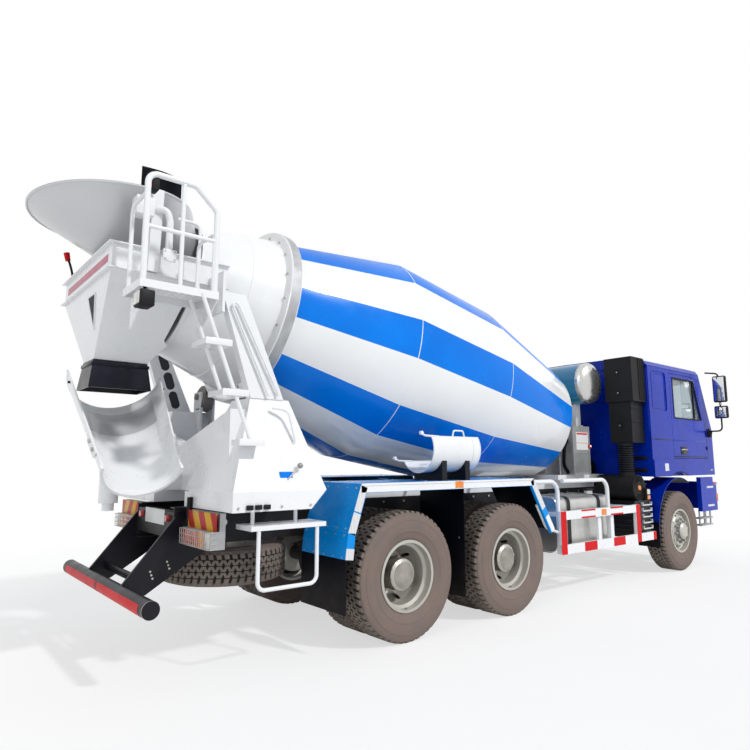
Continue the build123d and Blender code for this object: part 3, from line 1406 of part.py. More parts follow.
screen_half = 1050
screen_low = 2050
screen_high = 2730
grille_low = 1400
grille_high = 1750
grille_half = 800
grille_depth = 20
with BuildPart() as cab_front:
    side_plate(
        ((cab_front_x - cab_wall, cab_floor_z), (cab_front_x - cab_wall, cab_belt),
         (cab_front_x - cab_wall - screen_top_back, cab_edge), (cab_front_x - screen_top_back, cab_edge),
         (cab_front_x, cab_belt), (cab_front_x, cab_floor_z)),
        -wall_inner, wall_inner,
    )
    block(cab_front_x - cab_wall - screen_top_back - overrun, cab_front_x + overrun, -screen_half, screen_half,
          screen_low, screen_high, mode=Mode.SUBTRACT)
    block(cab_front_x - grille_depth, cab_front_x + overrun, -grille_half, grille_half, grille_low, grille_high,
          mode=Mode.SUBTRACT)
cab_front.part.label = "cab_front"
export_step(cab_front.part, "parts/cab_front.step")

with BuildPart() as windscreen:
    glass_back = cab_wall / 2
    side_plate(
        ((cab_front_x - glass_back - (screen_low - cab_belt) * screen_lean, screen_low),
         (cab_front_x - glass_back - (screen_high - cab_belt) * screen_lean, screen_high),
         (cab_front_x - glass_back - glass_thickness - (screen_high - cab_belt) * screen_lean, screen_high),
         (cab_front_x - glass_back - glass_thickness - (screen_low - cab_belt) * screen_lean, screen_low)),
        -screen_half, screen_half,
    )
windscreen.part.label = "windscreen"
export_step(windscreen.part, "parts/windscreen.step")

# Columns: distance out as a share of the cab's half width, rise above the edge as a share of the crown.
roof_shares = ((1.00, 0.00), (0.97, 0.42), (0.86, 0.78), (0.50, 0.96))
roof_wall = 40
roof_rear_over = 25
with BuildPart() as roof:
    crown = cab_crown - cab_edge
    with BuildSketch(Plane.YZ.offset(cab_rear_x - roof_rear_over)) as arch:
        right = [(-out * cab_half, cab_edge + up * crown) for out, up in roof_shares]
        left = [(-y, z) for y, z in reversed(right)]
        with BuildLine():
            Polyline(*right, (0, cab_crown), *left, close=True)
        make_face()
    roof_length = cab_front_x - screen_top_back - cab_rear_x + roof_rear_over
    extrude(arch.sketch, amount=roof_length)
    with BuildSketch(Plane.YZ.offset(cab_rear_x + roof_wall)) as hollow:
        inner_right = [(-out * (cab_half - cab_wall), cab_edge + up * (crown - roof_wall)) for out, up in roof_shares]
        inner_left = [(-y, z) for y, z in reversed(inner_right)]
        with BuildLine():
            Polyline(*inner_right, (0, cab_crown - roof_wall), *inner_left, close=True)
        make_face()
    extrude(hollow.sketch, amount=roof_length - roof_rear_over - 2 * roof_wall, mode=Mode.SUBTRACT)
roof.part.label = "cab_roof"
export_step(roof.part, "parts/cab_roof.step")

# Seats, dashboard and steering wheel inside
seat_rear_ahead = -560
seat_depth = 520
seat_width = 520
seat_out = 640
seat_height = 420
cushion_thickness = 130
seat_back_height = 720
dash_depth = 330
dash_height = 560
wheel_out = 640
wheel_radius = 225
wheel_rim = 16
wheel_rise = 640
wheel_back = 470
with BuildPart() as cab_interior:
    for out in (-seat_out, seat_out):
        seat_x = front_x + seat_rear_ahead
        low, high = out - seat_width / 2, out + seat_width / 2
        block(seat_x, seat_x + seat_depth, low, high, floor_top + seat_height - cushion_thickness,
              floor_top + seat_height)
        block(seat_x + cushion_thickness, seat_x + seat_depth - cushion_thickness, low + cushion_thickness,
              high - cushion_thickness, floor_top, floor_top + seat_height - cushion_thickness)
        block(seat_x - cushion_thickness, seat_x, low, high, floor_top + seat_height - cushion_thickness,
              floor_top + seat_height + seat_back_height)
    dash_x = cab_front_x - cab_wall
    side_plate(
        ((dash_x, floor_top), (dash_x, cab_belt - plate), (dash_x - dash_depth, cab_belt - plate),
         (dash_x - dash_depth, floor_top + dash_height / 2), (dash_x - dash_depth / 3, floor_top)),
        -wall_inner, wall_inner,
    )
    column_top_point = Vector(dash_x - wheel_back, wheel_out, floor_top + wheel_rise)
    column_root = Vector(dash_x - dash_depth / 2, wheel_out, floor_top + dash_height * 3 / 4)
    rod(column_root, column_top_point, wheel_rim * 2)
    lean = (column_top_point - column_root).normalized()
    with BuildSketch(Plane(origin=column_top_point, x_dir=(0, 1, 0), z_dir=lean)) as hoop_path:
        Circle(wheel_radius + wheel_rim)
        Circle(wheel_radius - wheel_rim, mode=Mode.SUBTRACT)
        Rectangle(2 * wheel_radius, 2 * wheel_rim)
    extrude(hoop_path.sketch, amount=wheel_rim)
cab_interior.part.label = "cab_interior"
export_step(cab_interior.part, "parts/cab_interior.step")

# Mirrors on their arms, and the sun visor over the windscreen
visor_half = 1060
visor_reach = 250
visor_drop = 110
visor_thickness = 12
mirror_ahead = 1020
mirror_x = front_x + mirror_ahead
mirror_in = 1345
mirror_out = 1535
mirror_depth = 70
mirror_low = 2395
mirror_high = 2800
small_low = 2150
small_high = 2340
arm_radius = 12
arm_top = 2850
arm_bottom = 1960
arm_out = 1430
with BuildPart() as mirrors:
    for low, high in ((mirror_low, mirror_high), (small_low, small_high)):
        block(mirror_x, mirror_x + mirror_depth, -mirror_out, -mirror_in, low, high)
    arm_x = mirror_x + mirror_depth / 2
    arm_bend = 50
    bent_tube(((arm_x, -cab_half, arm_bottom), (arm_x, -arm_out, arm_bottom), (arm_x, -arm_out, arm_top - plate),
               (cab_front_x - screen_top_back, -arm_out + arm_bend * 2, arm_top - plate)), arm_bend, arm_radius)
    mirrored_across()
    visor_root_x = cab_front_x - screen_top_back
    side_plate(
        ((visor_root_x, cab_edge + roof_wall), (visor_root_x + visor_reach, cab_edge + roof_wall - visor_drop),
         (visor_root_x + visor_reach, cab_edge + roof_wall - visor_drop - visor_thickness),
         (visor_root_x, cab_edge + roof_wall - visor_thickness)),
        -visor_half, visor_half,
    )
mirrors.part.label = "mirrors_and_visor"
export_step(mirrors.part, "parts/mirrors_and_visor.step")

# Air duct on the cab's back wall
duct_rear = 4070
duct_out = 1190
duct_in = 800
duct_head_low = 2300
duct_top = 2900
duct_neck_in = 830
duct_neck_out = 1140
with BuildPart() as duct:
    duct_front_x = cab_rear_x - rib_depth - seat_gap
    block(rear_x + duct_rear, duct_front_x, -duct_out, -duct_in, duct_head_low, cab_edge)
    block(rear_x + duct_rear, duct_front_x - roof_rear_over, -duct_out, -duct_in, cab_edge, duct_top)
    block(rear_x + duct_rear + plate * 2, duct_front_x, -duct_neck_out, -duct_neck_in, duct_low, duct_head_low)
duct.part.label = "air_duct"
export_step(duct.part, "parts/air_duct.step")

# Doors and their glass
for side_name, side in sides:
    with BuildPart() as door:
        low, high = sorted((side * (cab_half - cab_wall), side * cab_half))
        side_plate(door_outline(moving_gap), low, high)
        lean = door_lean / (door_head - cab_belt)
        window = (
            (door_rear_x + window_rear_inset, window_sill), (door_rear_x + window_rear_inset, window_head),
            (door_front_x - window_front_inset - (window_head - cab_belt) * lean, window_head),
            (door_front_x - window_front_inset - (window_sill - cab_belt) * lean, window_sill),
        )
        side_plate(window, low - overrun, high + overrun, mode=Mode.SUBTRACT)
    door.part.label = f"door_{side_name}"
    export_step(door.part, f"parts/door_{side_name}.step")

    with BuildPart() as glass:
        middle = side * (cab_half - cab_wall / 2)
        side_plate(window, middle - glass_thickness / 2, middle + glass_thickness / 2)
    glass.part.label = f"door_glass_{side_name}"
    export_step(glass.part, f"parts/door_glass_{side_name}.step")

# Discharge chute, falling to the right from under the boot, on a swinging arm
chute_z = 2216
chute_slope = 43.15
chute_top_radius = 364
chute_low_radius = 270
chute_length = 1106
chute_wall = 6
chute_rim = 14
chute_collar = 40
pin_along = 620
pin_drop = 46
pin_radius = 15
pin_half = 68
lug_inner = 46
lug_thickness = 15
lug_radius = 34
fall = Vector(0, -cos(radians(chute_slope)), -sin(radians(chute_slope)))
lift = Vector(0, -sin(radians(chute_slope)), cos(radians(chute_slope)))
chute_top = Vector(rear_x - chute_behind, 0, chute_z)
pin_share = pin_along / chute_length
pin_depth = chute_top_radius + (chute_low_radius - chute_top_radius) * pin_share + pin_drop
pin_at = chute_top + fall * pin_along - lift * pin_depth


def trough(radius_drop, past):
    """Gives the trough's two end outlines, smaller by a wall and stretched past each end."""
    faces = []
    for along, radius in ((-past, chute_top_radius), (chute_length + past, chute_low_radius)):
        at = chute_top + fall * along
        with BuildSketch(Plane(origin=at, x_dir=(1, 0, 0), z_dir=fall)) as section:
            Circle(radius - radius_drop)
        faces.append(section.sketch.face())
    return faces


with BuildPart() as chute:
    loft(sections=trough(0, 0))
    collar_at = chute_top + fall * (chute_length - chute_collar)
    rod(collar_at, chute_top + fall * chute_length, chute_low_radius + chute_rim)
    lug_top = lift * (pin_drop + chute_wall * 3)
    lug_corners = [pin_at - fall * lug_radius, pin_at + fall * lug_radius]
    lug_corners += [corner + lug_top for corner in reversed(lug_corners)]
    for x_way in (-1, 1):
        low, high = sorted((pin_at.X + x_way * lug_inner, pin_at.X + x_way * (lug_inner + lug_thickness)))
        cross_plate([(corner.Y, corner.Z) for corner in lug_corners], low, high)
        rod((low, pin_at.Y, pin_at.Z), (high, pin_at.Y, pin_at.Z), lug_radius)
    rod((pin_at.X - pin_half * 2, pin_at.Y, pin_at.Z), (pin_at.X + pin_half * 2, pin_at.Y, pin_at.Z),
        pin_radius + running_gap, mode=Mode.SUBTRACT)
    loft(sections=trough(chute_wall, seat_gap), mode=Mode.SUBTRACT)
    lid = chute_top + fall * (chute_length / 2)
    with BuildSketch(Plane(origin=lid, x_dir=(1, 0, 0), z_dir=lift)) as open_side:
        Rectangle(4 * chute_top_radius, 2 * chute_length)
    extrude(open_side.sketch, amount=chute_top_radius * 2, mode=Mode.SUBTRACT)
chute.part.label = "chute"
export_step(chute.part, "parts/chute.step")

with BuildPart() as chute_arm:
    rod((post_x, 0, chute_post_low), (post_x, 0, chute_post_top + collar_height), chute_post_radius)
    rod((post_x, 0, chute_post_top), (post_x, 0, chute_post_top + collar_height), chute_post_radius + sleeve_wall)
    rod((post_x, 0, chute_post_top + collar_height / 2), (pin_at.X, pin_at.Y, pin_at.Z), pin_radius * 2)
    rod((pin_at.X - lug_inner + moving_gap, pin_at.Y, pin_at.Z), (pin_at.X + lug_inner - moving_gap, pin_at.Y, pin_at.Z),
        pin_radius * 2)
    rod((pin_at.X - pin_half, pin_at.Y, pin_at.Z), (pin_at.X + pin_half, pin_at.Y, pin_at.Z), pin_radius)
chute_arm.part.label = "chute_arm"
export_step(chute_arm.part, "parts/chute_arm.step")
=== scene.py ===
"""Looks of a full-size concrete mixer truck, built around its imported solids.

Metres, with +X forward, +Y to the driver's left and +Z up. The origin lies on the ground under
the middle of the whole vehicle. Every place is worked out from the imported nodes' boxes and joints.
"""
import json
from math import acos, cos, pi, radians, sin

import bmesh
import bpy
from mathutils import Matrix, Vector


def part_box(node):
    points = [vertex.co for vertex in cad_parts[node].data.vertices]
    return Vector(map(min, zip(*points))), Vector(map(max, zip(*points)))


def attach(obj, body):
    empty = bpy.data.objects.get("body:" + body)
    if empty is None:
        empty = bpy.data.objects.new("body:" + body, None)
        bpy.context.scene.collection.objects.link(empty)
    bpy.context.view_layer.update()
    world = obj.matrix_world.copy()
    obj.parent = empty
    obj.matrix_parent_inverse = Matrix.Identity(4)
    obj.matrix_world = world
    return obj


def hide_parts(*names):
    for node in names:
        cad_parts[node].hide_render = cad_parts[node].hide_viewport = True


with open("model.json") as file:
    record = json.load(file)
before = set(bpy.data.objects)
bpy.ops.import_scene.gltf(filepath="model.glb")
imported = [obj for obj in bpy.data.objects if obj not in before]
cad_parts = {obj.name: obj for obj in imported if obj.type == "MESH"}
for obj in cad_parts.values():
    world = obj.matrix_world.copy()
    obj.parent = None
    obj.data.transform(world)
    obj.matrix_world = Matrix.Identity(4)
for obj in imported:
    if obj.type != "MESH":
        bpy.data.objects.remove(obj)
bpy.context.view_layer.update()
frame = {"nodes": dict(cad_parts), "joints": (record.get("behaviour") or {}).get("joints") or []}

MM = 0.001
PROUD = 1.5 * MM            # how far a film or plate stands off what carries it
RIGHT, LEFT = -1, 1
SIDES = (("right", RIGHT), ("left", LEFT))
joints = {joint["name"]: joint for joint in frame["joints"]}


def low(node):
    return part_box(node)[0]


def high(node):
    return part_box(node)[1]


def middle(node):
    return (low(node) + high(node)) / 2


rear_x = middle("rear_tyres_right").x
front_x = middle("front_tyre_right").x
axle_z = middle("front_tyre_right").z
tyre_radius = high("front_tyre_right").z / 2

# Camera at the photograph's place
camera_at = Vector((-5.3603, -5.0853, 1.5116))
camera_yaw = radians(50.559)
camera_rise = radians(8.19)
camera_data = bpy.data.cameras.new("camera")
camera_data.lens = 28.604
camera_data.sensor_width = 36
camera = bpy.data.objects.new("camera", camera_data)
bpy.context.scene.collection.objects.link(camera)
looking = Vector((cos(camera_rise) * cos(camera_yaw), cos(camera_rise) * sin(camera_yaw), sin(camera_rise)))
camera.location = camera_at
camera.rotation_euler = looking.to_track_quat("-Z", "Y").to_euler()
bpy.context.scene.camera = camera
bpy.context.scene.view_settings.view_transform = "Standard"


# Materials
class Nodes:
    """A material's node tree with short calls for the nodes used here."""

    def __init__(self, name):
        self.material = bpy.data.materials.new(name)
        self.material.use_nodes = True
        self.tree = self.material.node_tree
        self.shader = self.tree.nodes["Principled BSDF"]
        self.place = self.tree.nodes.new("ShaderNodeTexCoord").outputs["Object"]

    def link(self, source, target):
        self.tree.links.new(source, target)

    def noise(self, scale, detail=4.0, stretch=(1, 1, 1)):
        mapping = self.tree.nodes.new("ShaderNodeMapping")
        mapping.inputs["Scale"].default_value = stretch
        self.link(self.place, mapping.inputs["Vector"])
        node = self.tree.nodes.new("ShaderNodeTexNoise")
        node.inputs["Scale"].default_value = scale
        node.inputs["Detail"].default_value = detail
        self.link(mapping.outputs["Vector"], node.inputs["Vector"])
        return node.outputs["Fac"]

    def spread(self, value, to_low, to_high, from_low=0.3, from_high=0.7):
        node = self.tree.nodes.new("ShaderNodeMapRange")
        node.inputs["From Min"].default_value = from_low
        node.inputs["From Max"].default_value = from_high
        node.inputs["To Min"].default_value = to_low
        node.inputs["To Max"].default_value = to_high
        self.link(value, node.inputs["Value"])
        return node.outputs["Result"]

    def math(self, operation, *values):
        node = self.tree.nodes.new("ShaderNodeMath")
        node.operation = operation
        for socket, value in zip(node.inputs, values):
            if isinstance(value, (int, float)):
                socket.default_value = value
            else:
                self.link(value, socket)
        return node.outputs[0]

    def blend(self, share, first, second):
        node = self.tree.nodes.new("ShaderNodeMix")
        node.data_type = "RGBA"
        factor, one, two = node.inputs[0], node.inputs[6], node.inputs[7]
        self.link(share, factor)
        for socket, value in ((one, first), (two, second)):
            if isinstance(value, tuple):
                socket.default_value = (*value, 1)
            else:
                self.link(value, socket)
        return node.outputs[2]

    def axis(self, name):
        node = self.tree.nodes.new("ShaderNodeSeparateXYZ")
        self.link(self.place, node.inputs[0])
        return node.outputs[name]

    def bump(self, height, strength, distance=0.002):
        node = self.tree.nodes.new("ShaderNodeBump")
        node.inputs["Strength"].default_value = strength
        node.inputs["Distance"].default_value = distance
        self.link(height, node.inputs["Height"])
        self.link(node.outputs["Normal"], self.shader.inputs["Normal"])


def tinted(color, factor):
    return tuple(min(1.0, channel * factor) for channel in color)


def finish(name, color, roughness, metallic=0.0, coat=0.0, vary=0.08, blotch=1.6, stretch=(1, 1, 1),
           rough_vary=0.06, grain=160.0, bump=0.03, dust=None, dust_top=1.0, dust_most=0.5, second=None,
           specular=0.3):
    """A painted, cast, moulded or rubber surface with clouded colour, uneven gloss and road dust low down."""
    nodes = Nodes(name)
    cloud = nodes.noise(blotch, stretch=stretch)
    share = nodes.spread(cloud, 0, 1)
    shade = nodes.blend(share, tinted(color, 1 - vary), second or tinted(color, 1 + vary))
    if dust:
        lowness = nodes.spread(nodes.axis("Z"), dust_most, 0, 0, dust_top)
        speckle = nodes.spread(nodes.noise(9.0, 6.0), 0.35, 1)
        shade = nodes.blend(nodes.math("MULTIPLY", lowness, speckle), shade, dust)
    nodes.link(shade, nodes.shader.inputs["Base Color"])
    uneven = nodes.spread(nodes.noise(blotch * 4, stretch=stretch), roughness - rough_vary, roughness + rough_vary)
    nodes.link(uneven, nodes.shader.inputs["Roughness"])
    nodes.shader.inputs["Metallic"].default_value = metallic
    nodes.shader.inputs["Specular IOR Level"].default_value = specular
    nodes.shader.inputs["Coat Weight"].default_value = coat
    nodes.shader.inputs["Coat Roughness"].default_value = 0.06
    nodes.bump(nodes.noise(grain, 2.0, stretch), bump)
    return nodes.material


def glazing(name, color, roughness=0.03):
    """Tinted glass with a faint unevenness."""
    nodes = Nodes(name)
    nodes.link(nodes.blend(nodes.spread(nodes.noise(0.8), 0, 1), tinted(color, 0.92), color),
               nodes.shader.inputs["Base Color"])
    nodes.shader.inputs["Roughness"].default_value = roughness
    nodes.shader.inputs["Transmission Weight"].default_value = 0.85
    nodes.bump(nodes.noise(3.0, 1.0), 0.01)
    return nodes.material


def striped(name, first, second, across, pitch, share, roughness=0.35):
    """A film with slanting stripes of two colours."""
    nodes = Nodes(name)
    run = nodes.math("ADD", nodes.math("MULTIPLY", nodes.axis("Y"), across[0] / pitch),
                     nodes.math("MULTIPLY", nodes.axis("Z"), across[1] / pitch))
    stripe = nodes.math("GREATER_THAN", nodes.math("FRACT", run), share)
    worn = nodes.spread(nodes.noise(14.0, 5.0), 0, 0.16)
    shade = nodes.blend(worn, nodes.blend(stripe, first, second), (0.24, 0.2, 0.16))
    nodes.link(shade, nodes.shader.inputs["Base Color"])
    nodes.shader.inputs["Roughness"].default_value = roughness
    nodes.shader.inputs["Specular IOR Level"].default_value = 0.2
    nodes.bump(nodes.noise(260.0, 1.0), 0.05)
    return nodes.material


def lamp_glass(name, color, ribs=180.0):
    """A moulded lamp lens with fine ribs."""
    nodes = Nodes(name)
    nodes.link(nodes.blend(nodes.spread(nodes.noise(20.0), 0, 1), tinted(color, 0.7), color),
               nodes.shader.inputs["Base Color"])
    nodes.shader.inputs["Roughness"].default_value = 0.15
    nodes.shader.inputs["Coat Weight"].default_value = 0.6
    rib = nodes.math("SINE", nodes.math("MULTIPLY", nodes.axis("Z"), ribs * pi))
    nodes.bump(rib, 0.3)
    return nodes.material


ROAD_DUST = (0.24, 0.19, 0.15)
white = finish("white_paint", (0.78, 0.79, 0.8), 0.3, coat=0.4, vary=0.03)
cone_white = finish("drum_white", (0.8, 0.81, 0.81), 0.22, coat=0.6, vary=0.03)
drum_blue = finish("drum_blue", (0.0, 0.17, 0.7), 0.24, coat=0.08, second=(0.0, 0.2, 0.78), specular=0.12)
cab_blue = finish("cab_blue", (0.0, 0.022, 0.36), 0.26, coat=0.1, vary=0.12, grain=900.0, bump=0.02, specular=0.2)
fender_blue = finish("fender_blue", (0.0, 0.26, 0.72), 0.25, coat=0.1, vary=0.1, specular=0.15, dust=ROAD_DUST,
                     dust_top=1.0,
                     dust_most=0.12)
hopper_grey = finish("hopper_grey", (0.6, 0.61, 0.62), 0.34, metallic=0.3, coat=0.2, vary=0.06)
frame_black = finish("frame_black", (0.012, 0.012, 0.014), 0.42, vary=0.2, specular=0.2, dust=ROAD_DUST, dust_top=1.3,
                     dust_most=0.16)
plate_black = finish("plate_black", (0.006, 0.006, 0.01), 0.36, vary=0.2, specular=0.25)
plastic_black = finish("plastic_black", (0.01, 0.01, 0.011), 0.55, vary=0.25, specular=0.2, grain=420.0, bump=0.16)
rubber = finish("rubber", (0.002, 0.003, 0.006), 0.4, vary=0.25, specular=0.05, grain=300.0, bump=0.12, dust=ROAD_DUST,
                dust_top=0.8, dust_most=0.14)
boot_rubber = finish("boot_rubber", (0.004, 0.005, 0.012), 0.24, vary=0.3, specular=0.2, grain=60.0, bump=0.08)
tyre_side = finish("tyre_side", (0.25, 0.185, 0.155), 0.85, vary=0.22, blotch=5.0, grain=240.0, bump=0.18,
                   second=(0.17, 0.135, 0.12))
tyre_block = finish("tyre_block", (0.3, 0.245, 0.205), 0.9, vary=0.25, blotch=7.0, grain=260.0, bump=0.25,
                    second=(0.14, 0.12, 0.105))
tyre_groove = finish("tyre_groove", (0.03, 0.026, 0.024), 0.92, vary=0.3, blotch=9.0, grain=200.0, bump=0.2)
rim_silver = finish("rim_silver", (0.52, 0.51, 0.46), 0.4, metallic=0.35, vary=0.1, blotch=3.0, dust=ROAD_DUST,
                    dust_top=1.1, dust_most=0.3)
hub_metal = finish("hub_metal", (0.22, 0.2, 0.18), 0.5, metallic=0.6, vary=0.3, blotch=6.0, bump=0.1)
hub_face = finish("hub_face", (0.3, 0.28, 0.25), 0.5, metallic=0.3, vary=0.25, blotch=9.0, bump=0.08)
bolt_metal = finish("bolt_metal", (0.5, 0.48, 0.44), 0.36, metallic=0.85, vary=0.2, blotch=12.0)
stainless = finish("stainless", (0.62, 0.62, 0.61), 0.24, metallic=0.95, vary=0.05, stretch=(1, 12, 1), bump=0.04)
tank_alloy = finish("tank_alloy", (0.6, 0.6, 0.58), 0.33, metallic=0.85, vary=0.06, stretch=(9, 1, 1), bump=0.05)
alloy_rail = finish("alloy_rail", (0.72, 0.73, 0.74), 0.3, metallic=0.55, vary=0.04, stretch=(12, 1, 1))
galvanised = finish("galvanised", (0.42, 0.43, 0.44), 0.42, metallic=0.7, vary=0.16, blotch=7.0)
tank_teal = finish("tank_blue", (0.005, 0.17, 0.34), 0.22, coat=0.6, vary=0.12)
cast_grey = finish("cast_grey", (0.3, 0.31, 0.31), 0.5, metallic=0.4, vary=0.15, blotch=5.0, bump=0.12)
engine_dark = finish("engine_dark", (0.05, 0.05, 0.05), 0.6, metallic=0.4, vary=0.3, blotch=5.0, bump=0.2)
seat_cloth = finish("seat_cloth", (0.06, 0.065, 0.08), 0.9, vary=0.2, blotch=14.0, grain=700.0, bump=0.4)
inside_grey = finish("inside_grey", (0.2, 0.2, 0.21), 0.6, vary=0.12, grain=500.0, bump=0.1)
red_film = finish("red_film", (0.6, 0.002, 0.006), 0.4, vary=0.1, specular=0.15)
magenta_film = finish("magenta_film", (0.4, 0.03, 0.1), 0.35, coat=0.3, vary=0.1)
orange_lens = lamp_glass("orange_lens", (0.9, 0.24, 0.0))
red_lens = lamp_glass("red_lens", (0.55, 0.03, 0.03))
clear_lens = lamp_glass("clear_lens", (0.75, 0.74, 0.7))
window_glass = glazing("window_glass", (0.72, 0.8, 0.84))
screen_glass = glazing("screen_glass", (0.6, 0.72, 0.75))
mirror_face = finish("mirror_face", (0.7, 0.72, 0.74), 0.06, metallic=1.0, vary=0.03, rough_vary=0.02, bump=0.0)
board_films = {side: striped(f"board_film_{name}", (0.62, 0.33, 0.0), (0.4, 0.0, 0.004), (side, 0.55), 0.21, 0.5)
               for name, side in SIDES}
blank_plate = finish("blank_plate", (0.66, 0.67, 0.66), 0.4, vary=0.04)
# Painted shade: near-black film laid where a hole, slot or opening shows its dark inside.
painted_hole_shade = finish("painted_hole_shade", (0.03, 0.032, 0.04), 0.7, vary=0.2)
# Painted light: pale film laid in perforations where the bright sky shows through.
painted_hole_light = finish("painted_hole_light", (0.86, 0.87, 0.88), 0.6, vary=0.03)

NODE_LOOKS = {
    white: ("subframe", "rear_support", "collector", "ladder_and_platform", "chute", "chute_arm", "side_guards",
            "extension_chute"),
    cab_blue: ("cab_tub", "cab_side_walls", "cab_front", "cab_roof", "door_right", "door_left", "front_bumper",
               "front_mudguards"),
    fender_blue: ("rear_fenders",),
    hopper_grey: ("feed_hopper",),
    frame_black: ("frame_rails", "leaf_springs", "front_axle", "rear_axles", "knuckle_right", "knuckle_left"),
    plate_black: ("underrun_bar", "battery_box"),
    plastic_black: ("air_filter", "air_duct", "mirrors_and_visor"),
    rubber: ("rubber_flaps",),
    boot_rubber: ("collector_boot",),
    rim_silver: ("rear_rims_right", "rear_rims_left", "middle_rims_right", "middle_rims_left", "front_rim_right",
                 "front_rim_left", "spare_rim"),
    hub_metal: ("roller_right", "roller_left"),
    tank_alloy: ("fuel_tank",),
    galvanised: ("air_tanks", "tail_lamps"),
    cast_grey: ("drum_drive", "oil_cooler"),
    engine_dark: ("engine",),
    inside_grey: ("cab_interior",),
    window_glass: ("door_glass_right", "door_glass_left"),
    screen_glass: ("windscreen",),
    tank_teal: ("water_tank",),
}
for look, names in NODE_LOOKS.items():
    for node_name in names:
        slots = frame["nodes"][node_name].data.materials
        if not slots:
            slots.append(look)
        for index in range(len(slots)):
            slots[index] = look


# Shapes
def across(direction):
    """Two directions square to one another and to the given one."""
    direction = Vector(direction).normalized()
    first = direction.orthogonal().normalized()
    return first, direction.cross(first)


def circle(centre, direction, radius, count, start=None):
    """Points round a circle."""
    first, second = across(direction)
    if start is not None:
        first = Vector(start)
        second = Vector(direction).normalized().cross(first)
    return [Vector(centre) + first * (radius * cos(2 * pi * i / count)) + second * (radius * sin(2 * pi * i / count))
            for i in range(count)]


def rounded(points, bend, steps=5):
    """A path whose corners are rounded by a bend of that radius."""
    points = [Vector(p) for p in points]
    path = [points[0]]
    for before, corner, after in zip(points, points[1:], points[2:]):
        back, ahead = (before - corner), (after - corner)
        reach = min(bend, back.length / 2, ahead.length / 2)
        start, end = corner + back.normalized() * reach, corner + ahead.normalized() * reach
        for step in range(steps + 1):
            t = step / steps
            path.append(start * (1 - t) ** 2 + corner * (2 * t * (1 - t)) + end * t ** 2)
    path.append(points[-1])
    return path


class Piece:
    """One mesh made of plain shapes, each with its own material."""

    def __init__(self, name):
        self.name = name
        self.mesh = bmesh.new()
        self.materials = []

    def loft(self, rings, material, ends=True, around=True):
        """Joins rings of points, all with the same count."""
        if material not in self.materials:
            self.materials.append(material)
        rows = [[self.mesh.verts.new(point) for point in ring] for ring in rings]
        count = len(rows[0])
        faces = []
        for near, far in zip(rows, rows[1:]):
            for i in range(count if around else count - 1):
                j = (i + 1) % count
                faces.append(self.mesh.faces.new((near[i], near[j], far[j], far[i])))
        if ends:
            faces.append(self.mesh.faces.new(rows[0][::-1]))
            faces.append(self.mesh.faces.new(rows[-1]))
        for face in faces:
            face.material_index = self.materials.index(material)
        return rows

    def prism(self, outline, way, material, bevel=0.0):
        """A flat outline drawn out along a vector."""
        way = Vector(way)
        rows = self.loft([[Vector(p) for p in outline], [Vector(p) + way for p in outline]], material)
        if bevel:
            edges = {edge for row in rows for vert in row for edge in vert.link_edges}
            bmesh.ops.bevel(self.mesh, geom=list(edges), offset=bevel, segments=2, affect="EDGES", profile=0.5,
                            material=-1)

    def box(self, corner, opposite, material, bevel=0.0):
        (x0, y0, z0), (x1, y1, z1) = corner, opposite
        self.prism(((x0, y0, z0), (x1, y0, z0), (x1, y1, z0), (x0, y1, z0)), (0, 0, z1 - z0), material, bevel)

    def rod(self, start, end, radius, material, count=16, end_radius=None):
        way = Vector(end) - Vector(start)
        far = radius if end_radius is None else end_radius
        self.loft([circle(start, way, radius, count), circle(end, way, far, count)], material)

    def path(self, points, radius, material, count=12):
        """A round tube along a path."""
        points = [Vector(p) for p in points]
        ways = [(after - before).normalized() for before, after in zip(points, points[1:])]
        heads = [ways[0]] + [(a + b).normalized() for a, b in zip(ways, ways[1:])] + [ways[-1]]
        side = across(heads[0])[0]
        rings = []
        for point, head in zip(points, heads):
            side = (side - head * side.dot(head)).normalized()
            rings.append(circle(point, head, radius, count, side))
        self.loft(rings, material)

    def turned(self, outline, origin, direction, material, count=64, start=None, looks=None):
        """Turns a closed outline of (radius, distance along) about an axis."""
        direction = Vector(direction).normalized()
        if material not in self.materials:
            self.materials.append(material)
        rings = [circle(Vector(origin) + direction * along, direction, radius, count, start)
                 for radius, along in outline]
        rows = [[self.mesh.verts.new(point) for point in ring] for ring in rings]
        for row_index, near in enumerate(rows):
            far = rows[(row_index + 1) % len(rows)]
            for i in range(count):
                j = (i + 1) % count
                face = self.mesh.faces.new((near[i], near[j], far[j], far[i]))
                look = looks(row_index, i) if looks else material
                if look not in self.materials:
                    self.materials.append(look)
                face.material_index = self.materials.index(look)

    def bolt(self, place, outward, radius, material=None):
        """A hexagon head standing on a face."""
        place, outward = Vector(place), Vector(outward).normalized()
        tall = radius * 0.7
        self.loft([circle(place - outward * tall, outward, radius, 6),
                   circle(place + outward * tall, outward, radius, 6),
                   circle(place + outward * tall * 1.2, outward, radius * 0.8, 6)], material or bolt_metal)

    def done(self, body, slot, *replaced):
        """Closes the mesh and lets it ride on a body."""
        bmesh.ops.recalc_face_normals(self.mesh, faces=self.mesh.faces[:])
        for face in self.mesh.faces:
            face.smooth = True
        data = bpy.data.meshes.new(self.name)
        self.mesh.to_mesh(data)
        self.mesh.free()
        for material in self.materials:
            data.materials.append(material)
        data.set_sharp_from_angle(angle=radians(32))
        thing = bpy.data.objects.new(self.name, data)
        bpy.context.scene.collection.objects.link(thing)
        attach(thing, body)
        if replaced:
            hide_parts(*replaced)
        return thing


# Tyres with their tread
tyre_half = 0.150
bead_radius = 0.2863
bead_half = 0.1137
flange_radius = 0.2993
tread_depth = 0.013
tread_half = 0.111
